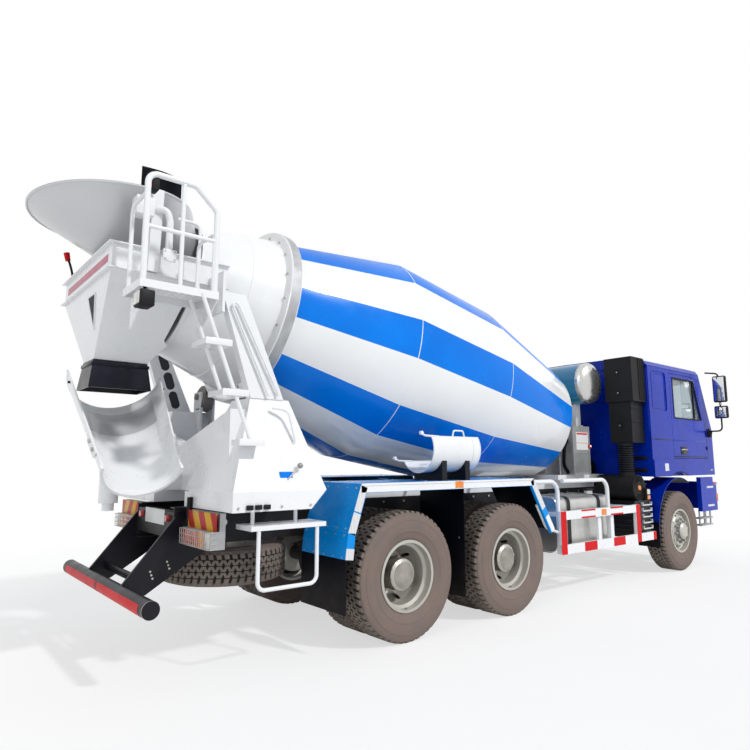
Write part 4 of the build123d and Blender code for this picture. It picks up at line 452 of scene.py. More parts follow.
# Columns: radius, distance from the tyre's middle. Bead, sidewall with its two raised rings, and shoulder.
SIDEWALL = (
    (bead_radius, bead_half), (flange_radius, bead_half), (0.306, 0.1215), (0.322, 0.1285), (0.345, 0.1385),
    (0.372, 0.1455), (0.374, 0.1475), (0.384, 0.1482), (0.386, 0.1465), (0.409, tyre_half), (0.44, 0.1498),
    (0.462, 0.148), (0.464, 0.150), (0.472, 0.149), (0.474, 0.1462), (0.496, 0.1405), (0.512, 0.1355), (0.522, 0.131),
)
# Ribs across the tread. Columns: inner edge, outer edge, lead of the outer edge in shares of a pitch.
RIBS = ((-0.021, 0.021, 0.36), (0.027, 0.069, -0.36), (-0.069, -0.027, -0.36))
TREAD_COUNT = 54
BLOCK_SHARE = 0.82
LUG_SHARE = 0.62


def add_tyre(piece, centre, axle):
    """Adds a tyre's carcass, its zigzag ribs and its shoulder lugs."""
    centre, axle = Vector(centre), Vector(axle)
    base = tyre_radius - tread_depth
    outline = [(radius, out) for radius, out in SIDEWALL] + [(base, tread_half), (base, -tread_half)]
    outline += [(radius, -out) for radius, out in reversed(SIDEWALL)]
    groove_row = len(SIDEWALL)

    def look(row, step):
        return tyre_groove if row == groove_row else tyre_side

    piece.turned(outline, centre, axle, tyre_side, 108, looks=look)
    first, second = across(axle)
    pitch = 2 * pi / TREAD_COUNT

    def at(turn, radius, out):
        return centre + axle * out + (first * cos(turn) + second * sin(turn)) * radius

    for number in range(TREAD_COUNT):
        start = number * pitch
        for inner, outer, lead in RIBS:
            for part in (0, 1):
                lean = lead * pitch / 2 * (1 if part == 0 else -1)
                from_turn = start + part * pitch / 2
                to_turn = from_turn + pitch / 2 * BLOCK_SHARE
                rings = [[at(from_turn - lean, radius, inner), at(from_turn + lean, radius, outer),
                          at(to_turn + lean, radius, outer), at(to_turn - lean, radius, inner)]
                         for radius in (base - PROUD, tyre_radius)]
                piece.loft(rings, tyre_block)
        for side in (RIGHT, LEFT):
            to_turn = start + pitch * LUG_SHARE
            middle_turn = (start + to_turn) / 2
            lead = pitch / 8
            outer_low = [at(turn, 0.514, side * 0.1355) for turn in (start, middle_turn, to_turn)]
            outer_high = [at(turn, tyre_radius, side * tread_half) for turn in (start, middle_turn, to_turn)]
            inner_high = [at(turn + lead, tyre_radius, side * 0.076) for turn in (start, middle_turn, to_turn)]
            inner_low = [at(turn + lead, base - PROUD, side * 0.076) for turn in (start, middle_turn, to_turn)]
            piece.loft([list(ring) for ring in zip(outer_low, outer_high, inner_high, inner_low)], tyre_block)


AXLE = Vector((0, 1, 0))
for side_name, side in SIDES:
    for axle_name in ("rear", "middle"):
        node = f"{axle_name}_tyres_{side_name}"
        tyres = Piece(f"{axle_name}_tread_{side_name}")
        for out in (low(node).y + tyre_half, high(node).y - tyre_half):
            add_tyre(tyres, (middle(node).x, out, axle_z), AXLE)
        tyres.done(f"{axle_name}_wheels_{side_name}", "tyre", node)
    node = f"front_tyre_{side_name}"
    tyre = Piece(f"front_tread_{side_name}")
    add_tyre(tyre, middle(node), AXLE)
    tyre.done(f"front_wheel_{side_name}", "tyre", node)
spare = Piece("spare_tread")
add_tyre(spare, middle("spare_tyre"), (0, 0, 1))
spare.done("chassis", "tyre", "spare_tyre")

# Wheel nuts, hub cap bolts, hub faces and valves
NUT_COUNT = 10
rear_disc_out = 0.919
nave_out = 1.163
for side_name, side in SIDES:
    outward = AXLE * side
    for axle_name in ("rear", "middle"):
        node = f"{axle_name}_rims_{side_name}"
        hub_x = middle(node).x
        hub = Piece(f"{axle_name}_hub_bolts_{side_name}")
        for centre in circle((hub_x, side * rear_disc_out, axle_z), AXLE, 0.1675, NUT_COUNT):
            hub.rod(centre, centre + outward * 0.034, 0.017, bolt_metal, 6)
        hub.rod((hub_x, side * 0.80, axle_z), (hub_x, side * 1.131, axle_z), 0.1365, hub_metal, 40)
        hub.rod((hub_x, side * 1.131, axle_z), (hub_x, side * 1.1515, axle_z), 0.118, hub_face, 40, 0.1065)
        for centre in circle((hub_x, side * 1.131, axle_z), AXLE, 0.126, NUT_COUNT):
            hub.bolt(centre, outward, 0.008)
        valve = Vector((hub_x - 0.02, side * 1.185, axle_z - 0.262))
        hub.rod(valve, valve + outward * 0.03, 0.006, bolt_metal, 8)
        hub.done(f"{axle_name}_wheels_{side_name}", "rim_paint")
    hub = Piece(f"front_hub_bolts_{side_name}")
    for centre in circle((front_x, side * nave_out, axle_z), AXLE, 0.155, NUT_COUNT):
        hub.rod(centre, centre + outward * 0.012, 0.022, cast_grey, 16)
        hub.rod(centre, centre + outward * 0.038, 0.016, bolt_metal, 6)
    hub.rod((front_x, side * 1.10, axle_z), (front_x, side * 1.2125, axle_z), 0.1135, cast_grey, 40)
    for centre in circle((front_x, side * 1.2125, axle_z), AXLE, 0.098, NUT_COUNT):
        hub.bolt(centre, outward, 0.007)
    hub.done(f"front_wheel_{side_name}", "rim_paint")

# Mixing drum: striped courses, weld seams, track ring and mouth lip
drum_origin = Vector(joints["drum_spin"]["pos_m"])
backward = Vector(joints["drum_spin"]["axis"])
drum_top = Vector((-backward.z, 0, backward.x)) * -1
SECTORS = 160
STRIPE_STEPS = 20           # a blue and a white stripe together
BLUE_STEPS = 9
BLUE_START = 15.5           # steps from the top of the drum to the first blue stripe on the right
drum_wall = 0.008
# Columns: distance behind the front edge, radius.
COURSES = ((0.0, 0.788), (1.605, 1.085), (3.014, 1.102), (4.216, 0.7914))
REAR_COURSES = ((4.342, 0.7588), (5.049, 0.576))
ring_behind, ring_half, ring_radius = 4.279, 0.055, 0.845
head_radius, head_depth = 0.21, 0.225


def stripe(step):
    """Tells whether a step round the drum is blue."""
    return (step - BLUE_START) % STRIPE_STEPS < BLUE_STEPS


def drum_outline(course_list):
    outer = [(radius, behind) for behind, radius in course_list]
    inner = [(radius - drum_wall, behind) for behind, radius in reversed(course_list)]
    return outer + inner


drum = Piece("drum_shell")
striped_rows = len(COURSES) - 1
drum.turned(drum_outline(COURSES), drum_origin, backward, cone_white, SECTORS, drum_top,
            lambda row, step: drum_blue if row < striped_rows and stripe(step) else cone_white)
drum.turned(drum_outline(REAR_COURSES), drum_origin, backward, cone_white, SECTORS, drum_top)
ring_outline = (
    (0.79, ring_behind - ring_half - 0.016), (0.812, ring_behind - ring_half), (0.838, ring_behind - ring_half),
    (ring_radius, ring_behind - ring_half + 0.007), (ring_radius, ring_behind + ring_half - 0.007),
    (0.838, ring_behind + ring_half), (0.80, ring_behind + ring_half), (0.745, ring_behind + ring_half + 0.016),
    (0.74, ring_behind + ring_half), (0.76, ring_behind - ring_half),
)
drum.turned(ring_outline, drum_origin, backward, cone_white, SECTORS, drum_top)
running_face = ring_half - 12 * MM
drum.turned(((ring_radius - 0.002, ring_behind - running_face), (ring_radius - 0.002, ring_behind + running_face),
             (ring_radius + PROUD, ring_behind + running_face), (ring_radius + PROUD, ring_behind - running_face)),
            drum_origin, backward, galvanised, SECTORS, drum_top)
drum.turned(((0.568, 5.027), (0.598, 5.027), (0.598, 5.049), (0.568, 5.049)), drum_origin, backward, cone_white,
            SECTORS, drum_top)
seam_rise = 0.4 * MM         # low enough to stay inside the part's box
for behind, radius in COURSES[1:3] + ((4.62, 0.6889),):
    drum.turned(((radius - 0.004, behind - 0.008), (radius + seam_rise, behind - 0.003),
                 (radius + seam_rise, behind + 0.003), (radius - 0.004, behind + 0.008)), drum_origin, backward,
                cone_white, SECTORS, drum_top)
for step in range(0, SECTORS, SECTORS // 20):
    turn = 2 * pi * step / SECTORS
    side_way = drum_top * cos(turn) + backward.cross(drum_top) * sin(turn)
    place = drum_origin + backward * (ring_behind + ring_half + 0.012) + side_way * 0.775
    drum.bolt(place, backward, 0.010)
drum.done("drum", "drum_paint", "drum")

# Dished front head of the drum with its flange
head = Piece("drum_head")
shell_front = COURSES[0][1]
# Columns: share of the way from the flange to the shell, share of the head's depth left.
DISH = ((0.0, 1.0), (0.35, 0.72), (0.7, 0.34), (1.0, 0.0))
dish = [(head_radius + (shell_front - head_radius) * out, -head_depth * deep) for out, deep in DISH]
head_outline = [(PROUD, -head_depth)] + dish
head_outline += [(radius - PROUD, along + drum_wall) for radius, along in reversed(head_outline[1:])]
head_outline.append((PROUD, drum_wall - head_depth))
head.turned(head_outline, drum_origin, backward, cone_white, SECTORS, drum_top)
head.done("drum", "drum_paint")


# Feed hopper: rolled rim
hopper_low, hopper_high = low("feed_hopper"), high("feed_hopper")
rim_z = hopper_high.z
hopper_half = hopper_high.y
hopper_rear_reach = 0.74
hopper_front_reach = 0.5
hopper_centre_x = hopper_low.x + hopper_rear_reach


def rim_points(inset, height, count=72):
    """Points round the hopper's egg-shaped rim."""
    points = []
    for i in range(count):
        turn = 2 * pi * i / count
        reach = hopper_front_reach if cos(turn) > 0 else hopper_rear_reach
        points.append(Vector((hopper_centre_x + (reach - inset) * cos(turn), (hopper_half - inset) * sin(turn),
                              height)))
    return points


rim = Piece("hopper_rim_roll")
ROLL = 8 * MM
rings = []
for i, point in enumerate(rim_points(ROLL, rim_z - ROLL)):
    outward = (point - Vector((hopper_centre_x, 0, point.z))).normalized()
    rings.append([point + outward * (ROLL * cos(2 * pi * k / 8)) + Vector((0, 0, ROLL * sin(2 * pi * k / 8)))
                  for k in range(8)])
rim.loft(rings + [rings[0]], hopper_grey, ends=False)
rim.done("chassis", "bare_metal")

# Collector: brim flanges, warning strip, painted shade of the sight hole, and bolts
brim_low = Vector((low("collector").x, -0.7, 2.89))
brim_high = Vector((-3.30, 0.7, 3.08))
flange = 30 * MM
collector = Piece("collector_trim")
for level in (brim_low.z, brim_high.z):
    collector.box((brim_low.x - flange, -0.7 - flange, level - 0.004), (brim_low.x, 0.7 + flange, level + 0.004),
                  white)
    for side in (RIGHT, LEFT):
        y0, y1 = sorted((side * 0.7, side * (0.7 + flange)))
        collector.box((brim_low.x, y0, level - 0.004), (brim_high.x, y1, level + 0.004), white)
collector.box((brim_low.x - PROUD, -0.6, 2.955), (brim_low.x, 0.6, 3.015), magenta_film)
sight_slope = Vector((0.06, 0, -0.59)).normalized()
sight_face = Vector((brim_low.x, -0.18, 2.86))
sight = [sight_face + Vector((0, y, 0)) + sight_slope * down for y, down in ((0.1, 0.07), (-0.1, 0.07), (-0.02, 0.34))]
# Painted shade: a near-black triangle on the funnel's rear face stands for the sight hole's dark inside; white rods
# edge it.
collector.prism(sight, (-PROUD, 0, 0), painted_hole_shade)
for corner, following in zip(sight, sight[1:] + sight[:1]):
    collector.rod(corner, following, 0.006, white, 8)
for out in (-0.14, -0.07, 0, 0.07, 0.14):
    collector.bolt((low("collector_boot").x + 0.048, out, 2.268), (-1, 0, 0), 0.008)
    collector.bolt((-3.935 + out * 1.35, low("collector_boot").y + 0.046, 2.268), (0, -1, 0), 0.008)
collector.done("chassis", "white_paint")

# Clamp band round the boot
boot_low, boot_high = low("collector_boot"), high("collector_boot")
clamp = Piece("boot_clamp")
clamp_half = 0.156
boot_x = (boot_low.x + boot_high.x) / 2
clamp_reach = 0.216
for side in (RIGHT, LEFT):
    y0, y1 = sorted((side * clamp_half, side * (clamp_half + 0.006)))
    clamp.box((boot_x - clamp_reach - 0.006, y0, 2.255), (boot_x + clamp_reach + 0.006, y1, 2.28), boot_rubber, 0.001)
    x0, x1 = sorted((boot_x + side * clamp_reach, boot_x + side * (clamp_reach + 0.006)))
    clamp.box((x0, -clamp_half, 2.255), (x1, clamp_half, 2.28), boot_rubber, 0.001)
clamp.done("chassis", "rubber")

# Rear support: painted shade of slots in the columns, service openings, handles, lever and hose loops
support = Piece("support_fittings")
column_lean = Vector((-0.26, 0, 0.80)).normalized()
column_foot = Vector((-3.0575, 0, 1.99))
for side in (RIGHT, LEFT):
    # Painted shade: near-black slots on each column's outer face stand for the slots' dark insides.
    for climb in (0.14, 0.34, 0.54):
        face = column_foot + column_lean * climb + Vector((0.0, side * 0.88, 0))
        first = column_lean
        second = Vector((first.z, 0, -first.x))
        outline = []
        for i in range(20):
            turn = 2 * pi * i / 20
            stretch = 0.045 if sin(turn) > 0 else -0.045
            outline.append(face + first * (0.045 * sin(turn) + stretch) + second * (0.045 * cos(turn)))
        support.prism(outline, (0, -side * PROUD, 0), painted_hole_shade)
skirt_y = low("rear_support").y
support.box((-3.05, skirt_y + 0.0335, 1.36), (-2.94, skirt_y + 0.05, 1.43), drum_blue, 0.002)
lever_root = Vector((-2.99, -1.172, 1.37))
lever_knob = Vector((-2.885, -1.18, 1.475))
support.rod(lever_root, lever_knob, 0.007, bolt_metal, 8)
support.turned([(0.0005 + 0.022 * sin(pi * k / 8), -0.022 * cos(pi * k / 8)) for k in range(9)], lever_knob,
               (0, -1, 0), cast_grey, 16)
support.path(rounded(((-3.05, -1.02, 1.92), (-2.93, -1.07, 1.90), (-2.875, -1.09, 1.66), (-2.90, -1.045, 1.62)), 0.05),
             0.012, white)
loop_out = 0.985
support.path(rounded(((-2.99, -loop_out + 0.02, 2.01), (-2.975, -loop_out, 2.03), (-3.345, -loop_out, 2.71),
                      (-3.395, -loop_out, 2.70), (-3.06, -loop_out, 2.01)), 0.03), 0.010, white)
for along in (0.0, 0.115, 0.23):
    support.box((-3.34 + along * 0.6, skirt_y - 0.022, 1.165), (-3.29 + along * 0.6, skirt_y - PROUD, 1.20),
                plate_black, 0.004)
for along in (-3.40, -3.05, -2.80):
    support.bolt((along, skirt_y, 1.18), (0, -1, 0), 0.010)
support.done("chassis", "white_paint")

# Painted shade of drip holes, in rows on the skirt above the rails, and bolts along it
rail_side = Piece("rail_hole_shade_and_bolts")
rail_out = 0.425
for side in (RIGHT, LEFT):
    # Painted shade: near-black discs in three rows stand for the drip holes' dark insides.
    for row_z in (0.92, 1.0, 1.08):
        for number in range(9):
            x = low("frame_rails").x + 0.12 + number * 0.088 + (0.04 if row_z == 1.0 else 0)
            rail_side.rod((x, side * (rail_out - 0.001), row_z), (x, side * (rail_out + PROUD), row_z), 0.011,
                          painted_hole_shade, 12)
    for number in range(22):
        x = -2.5 + number * 0.27
        rail_side.bolt((x, side * rail_out, 1.105), (0, side, 0), 0.012)
rail_side.done("chassis", "black_paint")

# Work platform and ladder: perforations painted as pale discs of light, toe board, lamp, second hand loop and pipe
platform_low = Vector((-4.1525, -1.2, 2.645))
platform_high = Vector((-3.6025, -0.85, 2.70))
platform = Piece("platform_fittings")
# Painted light: pale discs on the platform's top stand for the sky seen through its perforations.
for i in range(9):
    for k in range(5):
        x = platform_low.x + 0.065 + i * 0.053
        y = platform_low.y + 0.06 + k * 0.058 + (0.014 if i % 2 else 0)
        platform.rod((x, y, platform_high.z - 0.0075), (x, y, platform_high.z + PROUD), 0.011, painted_hole_light, 12)
# Painted light: pale discs in the toe board's perforations.
for i in range(6):
    for k in range(3):
        x = platform_low.x + 0.055 - PROUD
        y = -0.90 - i * 0.045
        z = platform_low.z - 0.04 - k * 0.06
        if (y + 0.85) > -0.35 * (1 - (platform_low.z - z) / 0.225):
            platform.rod((x, y, z), (x + PROUD, y, z), 0.012, painted_hole_light, 12)
for number in range(3):
    x = rear_x - 1.51 - number * 0.14
    z = 1.66 + number * 0.35
    # Painted light: pale discs in the step's perforations.
    for i in range(5):
        platform.rod((x - 0.07 + i * 0.035, -1.17, z), (x - 0.07 + i * 0.035, -1.17, z + PROUD), 0.010, painted_hole_light, 12)
        platform.rod((x - 0.07 + i * 0.035, -1.13, z), (x - 0.07 + i * 0.035, -1.13, z + PROUD), 0.010, painted_hole_light, 12)
    platform.box((x - 0.101, -1.2165, z - 0.042), (x + 0.101, -1.213, z + 0.006), white, 0.001)
lamp_at = Vector((-4.10, -1.14, 2.575))
platform.box(lamp_at + Vector((-0.05, -0.07, -0.055)), lamp_at + Vector((0.05, 0.07, 0.055)), plastic_black, 0.012)
platform.box(lamp_at + Vector((-0.056, -0.058, -0.042)), lamp_at + Vector((-0.05, 0.058, 0.042)), clear_lens, 0.002)
platform.rod(lamp_at + Vector((0, 0, 0.05)), lamp_at + Vector((0, 0, 0.085)), 0.012, plastic_black, 10)
red_lamp = Vector((-4.08, -1.13, 3.40))
platform.box(red_lamp + Vector((-0.02, -0.045, -0.06)), red_lamp + Vector((0.03, 0.045, 0.06)), plastic_black, 0.008)
platform.box(red_lamp + Vector((-0.028, -0.038, -0.05)), red_lamp + Vector((-0.02, 0.038, 0.05)), red_lens, 0.003)
pipe_y = -0.82
platform.path(rounded(((-3.99, pipe_y + 0.05, 3.36), (-3.87, pipe_y, 3.37), (-3.84, pipe_y, 3.3),
                       (-3.84, pipe_y, 2.99)),
                      0.06), 0.026, white, 16)
platform.box((-4.10, -0.86, 3.28), (-3.97, -0.74, 3.42), white, 0.006)
platform.box((-3.89, -0.855, 2.97), (-3.79, -0.8375, 3.06), white, 0.003)
for dx in (-0.035, 0.035):
    for dz in (0.0, 0.06):
        platform.bolt((-3.84 + dx, -0.855, 2.985 + dz), (0, -1, 0), 0.008)
platform.path(rounded(((-3.64, -1.176, 2.70), (-3.64, -1.176, 3.13), (-3.64, -0.885, 3.13), (-3.64, -0.885, 2.70)),
                      0.06),
              0.012, white)
platform.path(rounded(((-3.626, -0.874, 2.70), (-3.626, -0.874, 3.30), (-3.80, -0.874, 3.30)), 0.06), 0.012, white)
platform.done("chassis", "white_paint")

# Control lever on the left rear corner of the collector
lever = Piece("rear_lever")
lever_foot = Vector((-4.15, 0.66, 3.08))
lever.path(rounded((lever_foot, lever_foot + Vector((-0.03, 0, 0.14)), lever_foot + Vector((-0.06, 0.02, 0.24))),
                   0.04),
           0.010, plastic_black)
lever.rod(lever_foot + Vector((-0.06, 0.02, 0.22)), lever_foot + Vector((-0.075, 0.025, 0.29)), 0.022, red_film, 16,
          0.026)
lever.rod(lever_foot, lever_foot + Vector((0, 0, 0.03)), 0.035, white, 20)
lever.done("chassis", "white_paint")

# Chute: rolled edges, clamps on its sides, hand grips and the wear plate inside
chute_top = Vector((-3.9285, 0, 2.216))
chute_slope = radians(43.15)
fall = Vector((0, -cos(chute_slope), -sin(chute_slope)))
lift = Vector((0, -sin(chute_slope), cos(chute_slope)))
chute_length, chute_top_radius, chute_low_radius = 1.106, 0.364, 0.270
chute = Piece("chute_trim")


def chute_edge(share, side, out=0.0, up=0.0):
    radius = chute_top_radius + (chute_low_radius - chute_top_radius) * share
    return chute_top + fall * (chute_length * share) + Vector((side * (radius + out), 0, 0)) + lift * up


for side in (-1, 1):
    chute.rod(chute_edge(0.005, side, -0.003, -0.008), chute_edge(0.965, side, -0.003, -0.008), 0.008, white)
    for share in (0.72, 0.80):
        chute.rod(chute_edge(share, side, 0.0, -0.03), chute_edge(share, side, 0.022, -0.03), 0.016, bolt_metal, 6)
    chute.prism([chute_edge(0.66, side, 0.002, 0.0), chute_edge(0.86, side, 0.002, 0.0),
                 chute_edge(0.84, side, 0.002, -0.07),
                 chute_edge(0.68, side, 0.002, -0.07)], (side * 0.008, 0, 0), white)
    chute.rod(chute_edge(0.12, side, 0.0, -0.02), chute_edge(0.12, side, 0.018, -0.02), 0.010, plastic_black, 12)
rib_angles = [pi + pi * k / 24 for k in range(25)]
for share, size in ((0.955, 0.010), (0.03, 0.006)):
    ring = []
    radius = chute_top_radius + (chute_low_radius - chute_top_radius) * share
    centre = chute_top + fall * (chute_length * share)
    ring_path = [centre + Vector((cos(a) * (radius - 0.002), 0,
                                  0)) + lift * (sin(a) * (radius - 0.002)) for a in rib_angles]
    chute.path(ring_path, size, white, 10)
wear_shares = (0.10, 0.36)
wear_angles = [pi + pi * k / 20 for k in range(3, 18)]
wear_rows = []
for share in wear_shares:
    radius = chute_top_radius + (chute_low_radius - chute_top_radius) * share - 0.0075
    centre = chute_top + fall * (chute_length * share)
    wear_rows.append([centre + Vector((cos(a) * radius, 0, 0)) + lift * (sin(a) * radius) for a in wear_angles])
chute.loft(wear_rows, hopper_grey, ends=False, around=False)
chute.done("chute", "white_paint")

arm_trim = Piece("chute_arm_trim")
pin = Vector(joints["chute_tilt"]["pos_m"])
for side in (-1, 1):
    arm_trim.rod(pin + Vector((side * 0.0665, 0, 0)), pin + Vector((side * 0.0735, 0, 0)), 0.022, bolt_metal, 6)
arm_trim.done("chute_arm", "white_paint")

# Underrun bar: red reflecting film, end caps and bolts on the arms
bar_low, bar_high = low("underrun_bar"), high("underrun_bar")
bar_radius = 0.06
bar_x, bar_z = bar_low.x + bar_radius, bar_low.z + bar_radius
underrun = Piece("underrun_trim")
film_angles = [radians(a) for a in range(150, 271, 10)]
for first_y, last_y in ((-0.98, -0.02), (0.02, 0.98)):
    rows = [[(bar_x + (bar_radius + PROUD) * cos(a), y, bar_z + (bar_radius + PROUD) * sin(a)) for a in film_angles]
            for y in (first_y, last_y)]
    rows_in = [[(bar_x + bar_radius * 0.99 * cos(a), y,
                 bar_z + bar_radius * 0.99 * sin(a)) for a in reversed(film_angles)]
               for y in (first_y, last_y)]
    underrun.loft([a + b for a, b in zip(rows, rows_in)], red_film)
for side in (RIGHT, LEFT):
    end = Vector((bar_x, side * bar_high.y, bar_z))
    underrun.turned(((0.048, -0.004), (0.0615, -0.004), (0.0615, 0.0), (0.048, 0.0)), end - AXLE * side * 0.0015,
                    AXLE * side, bolt_metal, 32)
    for root in (Vector((-3.60, side * 0.447, 0.75)), Vector((-3.725, side * 0.447, 0.69))):
        for step in range(3):
            underrun.bolt(root + Vector((step * 0.01, 0, step * -0.026)), (0, side, 0), 0.009)
underrun.box((-3.80, -0.404, 0.60), (-3.78, 0.404, 0.66), plate_black, 0.003)
underrun.done("chassis", "black_paint")

# Tail lamps in wire cages, warning boards, blank number plate and the black stub beside them
lamp_low, lamp_high = low("tail_lamps"), high("tail_lamps")
lamp_split = 1.015
lamps = Piece("tail_lamp_fittings")
for side in (RIGHT, LEFT):
    y0, y1 = sorted((side * 0.56, side * 1.06))
    board_x = lamp_high.x - 0.024 - 0.044
    lamps.box((board_x - 0.0265, y0, lamp_split), (board_x - 0.022, y1, lamp_high.z), board_films[side], 0.001)
    cells = ((0.0, 0.28, red_lens), (0.28, 0.55, red_lens), (0.55, 0.78, orange_lens), (0.78, 1.0, clear_lens))
    for start, stop, lens in cells:
        inner = side * (0.56 + 0.50 * start + 0.006)
        outer = side * (0.56 + 0.50 * stop - 0.006)
        a, b = sorted((inner, outer))
        lamps.box((lamp_low.x - 0.003, a, lamp_low.z + 0.012), (lamp_low.x + 0.006, b, lamp_split - 0.012), lens,
                  0.003)
    cage_x = lamp_low.x - 0.022
    for row in range(4):
        z = lamp_low.z + 0.006 + row * (lamp_split - lamp_low.z - 0.012) / 3
        lamps.path(rounded(((lamp_low.x + 0.05, y0 - 0.006, z), (cage_x, y0 - 0.006, z), (cage_x, y1 + 0.006, z),
                            (lamp_low.x + 0.05, y1 + 0.006, z)), 0.012, 3), 0.0025, bolt_metal, 6)
    for column in range(15):
        y = y0 + (y1 - y0) * column / 14
        lamps.rod((cage_x, y, lamp_low.z + 0.004), (cage_x, y, lamp_split - 0.004), 0.0022, bolt_metal, 6)
lamps.box((-3.5535, -0.22, 1.00), (-3.5480, 0.22, 1.12), blank_plate, 0.001)
lamps.rod((-3.46, -0.50, 1.05), (-3.46, -0.50, 1.23), 0.022, plastic_black, 16)
for out in (-0.30, 0.30):
    lamps.rod((-3.5475, out, 1.06), (-3.575, out, 1.06), 0.03, red_lens, 20, 0.026)
lamps.done("chassis", "lamp_plastic")

# Rear fenders: alloy edge rails, corner clips, markers and bolts
fender_half = high("rear_fenders").y
FENDER_TOP = high("rear_fenders").z
# Columns: distance ahead of the rear axle, height.
fender_line = [Vector((rear_x + along, 0, height)) for along, height in (
    (-0.697, 0.748), (-0.671, 0.949), (-0.539, FENDER_TOP), (1.758, FENDER_TOP), (2.097, 0.790))]


def fender_at(run, share):
    return fender_line[run].lerp(fender_line[run + 1], share)


for side_name, side in SIDES:
    trim = Piece(f"fender_trim_{side_name}")
    y_out = side * fender_half
    # Columns: run of the outline, from and to share, depth of the rail, look.
    for run, start, stop, depth, look in (
        (2, 0.0, 1.0, 0.072, white), (1, 0.45, 0.97, 0.070, alloy_rail), (1, 0.0, 0.42, 0.074, alloy_rail),
        (0, 0.45, 1.0, 0.072, fender_blue), (0, 0.0, 0.42, 0.078, alloy_rail), (3, 0.0, 0.55, 0.066, alloy_rail),
        (3, 0.58, 0.68, 0.068, fender_blue), (3, 0.70, 1.0, 0.060, white),
    ):
        a, b = fender_at(run, start), fender_at(run, stop)
        way = (b - a).normalized()
        inward = Vector((way.z, 0, -way.x)) * depth
        lip = PROUD * 0.6
        outline = [Vector((p.x, y_out + side * 0.0, p.z)) for p in (a, b, b + inward, a + inward)]
        trim.prism(outline, (0, side * lip, 0), look)
    trim.rod((rear_x - 0.52, y_out + side * 0.0006, FENDER_TOP - 0.02),
             (rear_x + 1.755, y_out + side * 0.0006, FENDER_TOP - 0.02), 0.002, galvanised, 8)
    trim.box((rear_x + 0.56, min(y_out, y_out + side * 0.003), FENDER_TOP - 0.066),
             (rear_x + 0.67, max(y_out, y_out + side * 0.003), FENDER_TOP - 0.006), orange_lens, 0.001)
    for share in (0.08, 0.9):
        for run in (0, 1):
            spot = fender_at(run, share)
            way = (fender_line[run + 1] - fender_line[run]).normalized()
            outward = Vector((-way.z, 0, way.x))
            for out in (0.66, 0.80, 0.95, 1.08, 1.20):
                trim.bolt(Vector((spot.x, side * out, spot.z)), outward, 0.008)
    for share in (0.03, 0.35, 0.68, 0.97):
        spot = fender_at(2, share)
        for out in (0.70, 1.16):
            trim.bolt(Vector((spot.x, side * out, spot.z)), (0, 0, 1), 0.008)
    trim.done("chassis", "fender_paint")

# Extension chute: rolled rims, hooks and grip, on black cradles
ext_low, ext_high = low("extension_chute"), high("extension_chute")
EXT_RADIUS = 0.218
EXT_TURN = radians(32)
ext_centre = Vector((0, ext_low.y + EXT_RADIUS, ext_high.z - EXT_RADIUS * sin(EXT_TURN)))


def on_trough(x, turn, radius=EXT_RADIUS):
    """A point of the trough's round at a turn from the inward side."""
    return Vector((x, ext_centre.y + radius * cos(turn), ext_centre.z + radius * sin(turn)))


extension = Piece("extension_trim")
half_turn = [-EXT_TURN - pi * k / 24 for k in range(25)]
for x in (ext_low.x + 0.006, ext_high.x - 0.006, ext_high.x - 0.10):
    extension.path([on_trough(x, turn) for turn in half_turn], 0.006, white, 8)
hook_reach, hook_lift = 0.12, 0.028
for turn in (half_turn[0], half_turn[-1]):
    edge = on_trough(ext_low.x, turn, EXT_RADIUS - 0.003)
    extension.rod(edge, on_trough(ext_high.x, turn, EXT_RADIUS - 0.003), 0.007, white, 10)
    knob = edge + Vector((-hook_reach, 0, hook_lift))
    extension.path(rounded((edge + Vector((0.10, 0, 0)), edge + Vector((-0.08, 0, 0.005)), knob), 0.02, 3),
                   0.010, white, 10)
    extension.rod(knob - AXLE * 0.012, knob + AXLE * 0.012, 0.018, white, 14)
grip_root = on_trough(-1.20, half_turn[-1], EXT_RADIUS - 0.004)
grip_length, grip_height = 0.17, 0.062
extension.path(rounded((grip_root - Vector((0, 0, 0.01)), grip_root + Vector((0.02, 0, grip_height)),
                        grip_root + Vector((grip_length - 0.02, 0, grip_height)),
                        grip_root + Vector((grip_length, 0, -0.01))), 0.02, 3), 0.008, white, 10)
cradle_out, cradle_inset, cradle_half = 0.19, 0.165, 0.0315
for x in (ext_low.x + cradle_inset, ext_high.x - cradle_inset):
    round_low = [on_trough(x - cradle_half, turn, EXT_RADIUS + 0.0005)
                 for turn in [-acos(cradle_out / EXT_RADIUS) - k * (pi - 2 * acos(cradle_out / EXT_RADIUS)) / 16
                              for k in range(17)]]
    foot = [Vector((x - cradle_half, ext_centre.y + out, ext_low.z + 0.001)) for out in (-cradle_out, cradle_out)]
    extension.prism(round_low + foot, (2 * cradle_half, 0, 0), plate_black)
extension.done("chassis", "white_paint")
